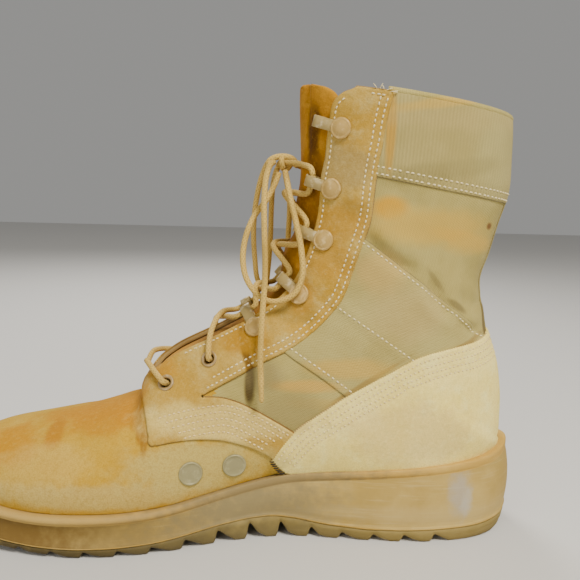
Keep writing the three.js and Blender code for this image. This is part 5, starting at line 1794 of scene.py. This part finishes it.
def add_hardware(cap_paint, strip_paint, eyelet_paint, vent_paint):
    for name, _ in SIDES:
        for i, (kind, *_) in enumerate(LACING):
            shape = Shape()
            if kind == "eyelet":
                add_part(shape, SEATS[name][i], lathe(EYELET, 40, closed=True))
                piece = shape.build(f"eyelet_ring_{name}_{i + 1}", [eyelet_paint])
            else:
                add_part(shape, SEATS[name][i], lathe(RIVET_CAP, 40))
                add_part(shape, SEATS[name][i], strip_mesh(), slot=1)
                piece = shape.build(f"rivet_loop_{name}_{i + 1}", [cap_paint, strip_paint])
            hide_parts(f"{kind}_{name}_{i + 1}")
    for i, (x, z) in enumerate(VENTS):
        shape = Shape()
        add_part(shape, seat(1, x, z), lathe(VENT, 44))
        piece = shape.build(f"vent_disc_{i + 1}", [vent_paint])
        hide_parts(f"drain_vent_{i + 1}")


# ---------------------------------------------------------------------------
# Assembly
# ---------------------------------------------------------------------------


def make_paints():
    return {
        "suede": suede("suede_vamp", (0.54, 0.325, 0.030), (0.46, 0.250, 0.009), (0.56, 0.400, 0.078)),
        "suede_pale": suede("suede_eyestay", (0.54, 0.360, 0.080), (0.43, 0.245, 0.024),
                            (0.57, 0.455, 0.18)),
        "suede_counter": suede("suede_counter", (1.0, 0.83, 0.28), (0.92, 0.72, 0.18),
                               (1.0, 0.92, 0.38)),
        # The tongue's suede takes the table of painted shade on the tongue.
        "tongue": suede("suede_tongue", (0.50, 0.240, 0.014), (0.38, 0.160, 0.007),
                        (0.60, 0.320, 0.030), TONGUE_SHADE),
        "canvas": canvas("canvas_quarter", (0.470, 0.388, 0.128), (0.380, 0.305, 0.086),
                         0.9, 8.0, 1.6, 0.16),
        "canvas_strap": canvas("canvas_strap", (0.465, 0.390, 0.135), (0.395, 0.315, 0.095),
                               0.8, 38.0, 1.5, 0.12),
        "canvas_band": canvas("canvas_band", (0.460, 0.375, 0.135), (0.380, 0.305, 0.100),
                              0.6, 0.0, 1.8, 0.30),
        # The next three paints: the darker cut edges, with painted shade where panels meet.
        "suede_edge_and_shade": plain_fabric("suede_cut_edge_and_shade", (0.26, 0.145, 0.026), (0.17, 0.088, 0.014)),
        "counter_edge_and_shade": plain_fabric("counter_cut_edge_and_shade", (0.42, 0.265, 0.070), (0.30, 0.165, 0.032)),
        "canvas_edge_and_shade": plain_fabric("canvas_cut_edge_and_shade", (0.29, 0.235, 0.080), (0.20, 0.155, 0.050)),
        "lining": plain_fabric("lining_fabric", (0.34, 0.22, 0.07), (0.24, 0.145, 0.04)),
        "thread": cord_paint("thread_white", (0.82, 0.71, 0.42), (0.60, 0.48, 0.23)),
        "thread_pale": cord_paint("thread_straw", (0.82, 0.65, 0.31), (0.58, 0.41, 0.14)),
        "thread_tan": cord_paint("thread_tan", (0.84, 0.68, 0.32), (0.60, 0.45, 0.17)),
        # Near-black thread of the bar tacks: painted shade of the notch they sit in.
        "tack_thread_shade": cord_paint("tack_thread_shade", (0.05, 0.04, 0.025), (0.02, 0.015, 0.01)),
        "lace": cord_paint("lace_braid", (0.62, 0.420, 0.105), (0.30, 0.180, 0.028)),
        "midsole": rubber("midsole_side", (0.50, 0.355, 0.110), (0.40, 0.268, 0.066),
                          (0.54, 0.42, 0.18), MIDSOLE_MARKS_AND_SHADE),
        "lip": rubber("midsole_lip", (0.60, 0.395, 0.100), (0.50, 0.305, 0.060),
                      (0.60, 0.45, 0.18), LIP_MARKS_AND_SHADE),
        "outsole": rubber("outsole_side", (0.29, 0.212, 0.066), (0.21, 0.150, 0.040),
                          (0.34, 0.265, 0.105), OUTSOLE_SHADE),
        "insole": plain_fabric("insole_fabric", (0.30, 0.22, 0.12), (0.22, 0.15, 0.08), 1.4),
        "rivet": enamel("rivet_enamel", (0.46, 0.295, 0.075), (0.60, 0.42, 0.15)),
        "strip": enamel("strip_enamel", (0.38, 0.275, 0.09), (0.56, 0.45, 0.24)),
        "eyelet": enamel("eyelet_enamel", (0.36, 0.245, 0.095), (0.52, 0.40, 0.22)),
        "vent": enamel("vent_enamel", (0.30, 0.265, 0.125), (0.38, 0.335, 0.17)),
    }


add_camera()
add_studio()
PAINTS = make_paints()
KNOT = add_knot(PAINTS["lace"])
add_free_laces(PAINTS["lace"])
add_threaded_laces(PAINTS["lace"])
add_upper_shell(PAINTS["suede"], PAINTS["canvas"], PAINTS["lining"])
add_upper_panels(PAINTS)
add_collar_roll(PAINTS["canvas"])
add_tongue(PAINTS["tongue"])
add_midsole(PAINTS["midsole"], PAINTS["lip"])
add_outsole(PAINTS["outsole"])
add_insole(PAINTS["insole"])
add_hardware(PAINTS["rivet"], PAINTS["strip"], PAINTS["eyelet"], PAINTS["vent"])
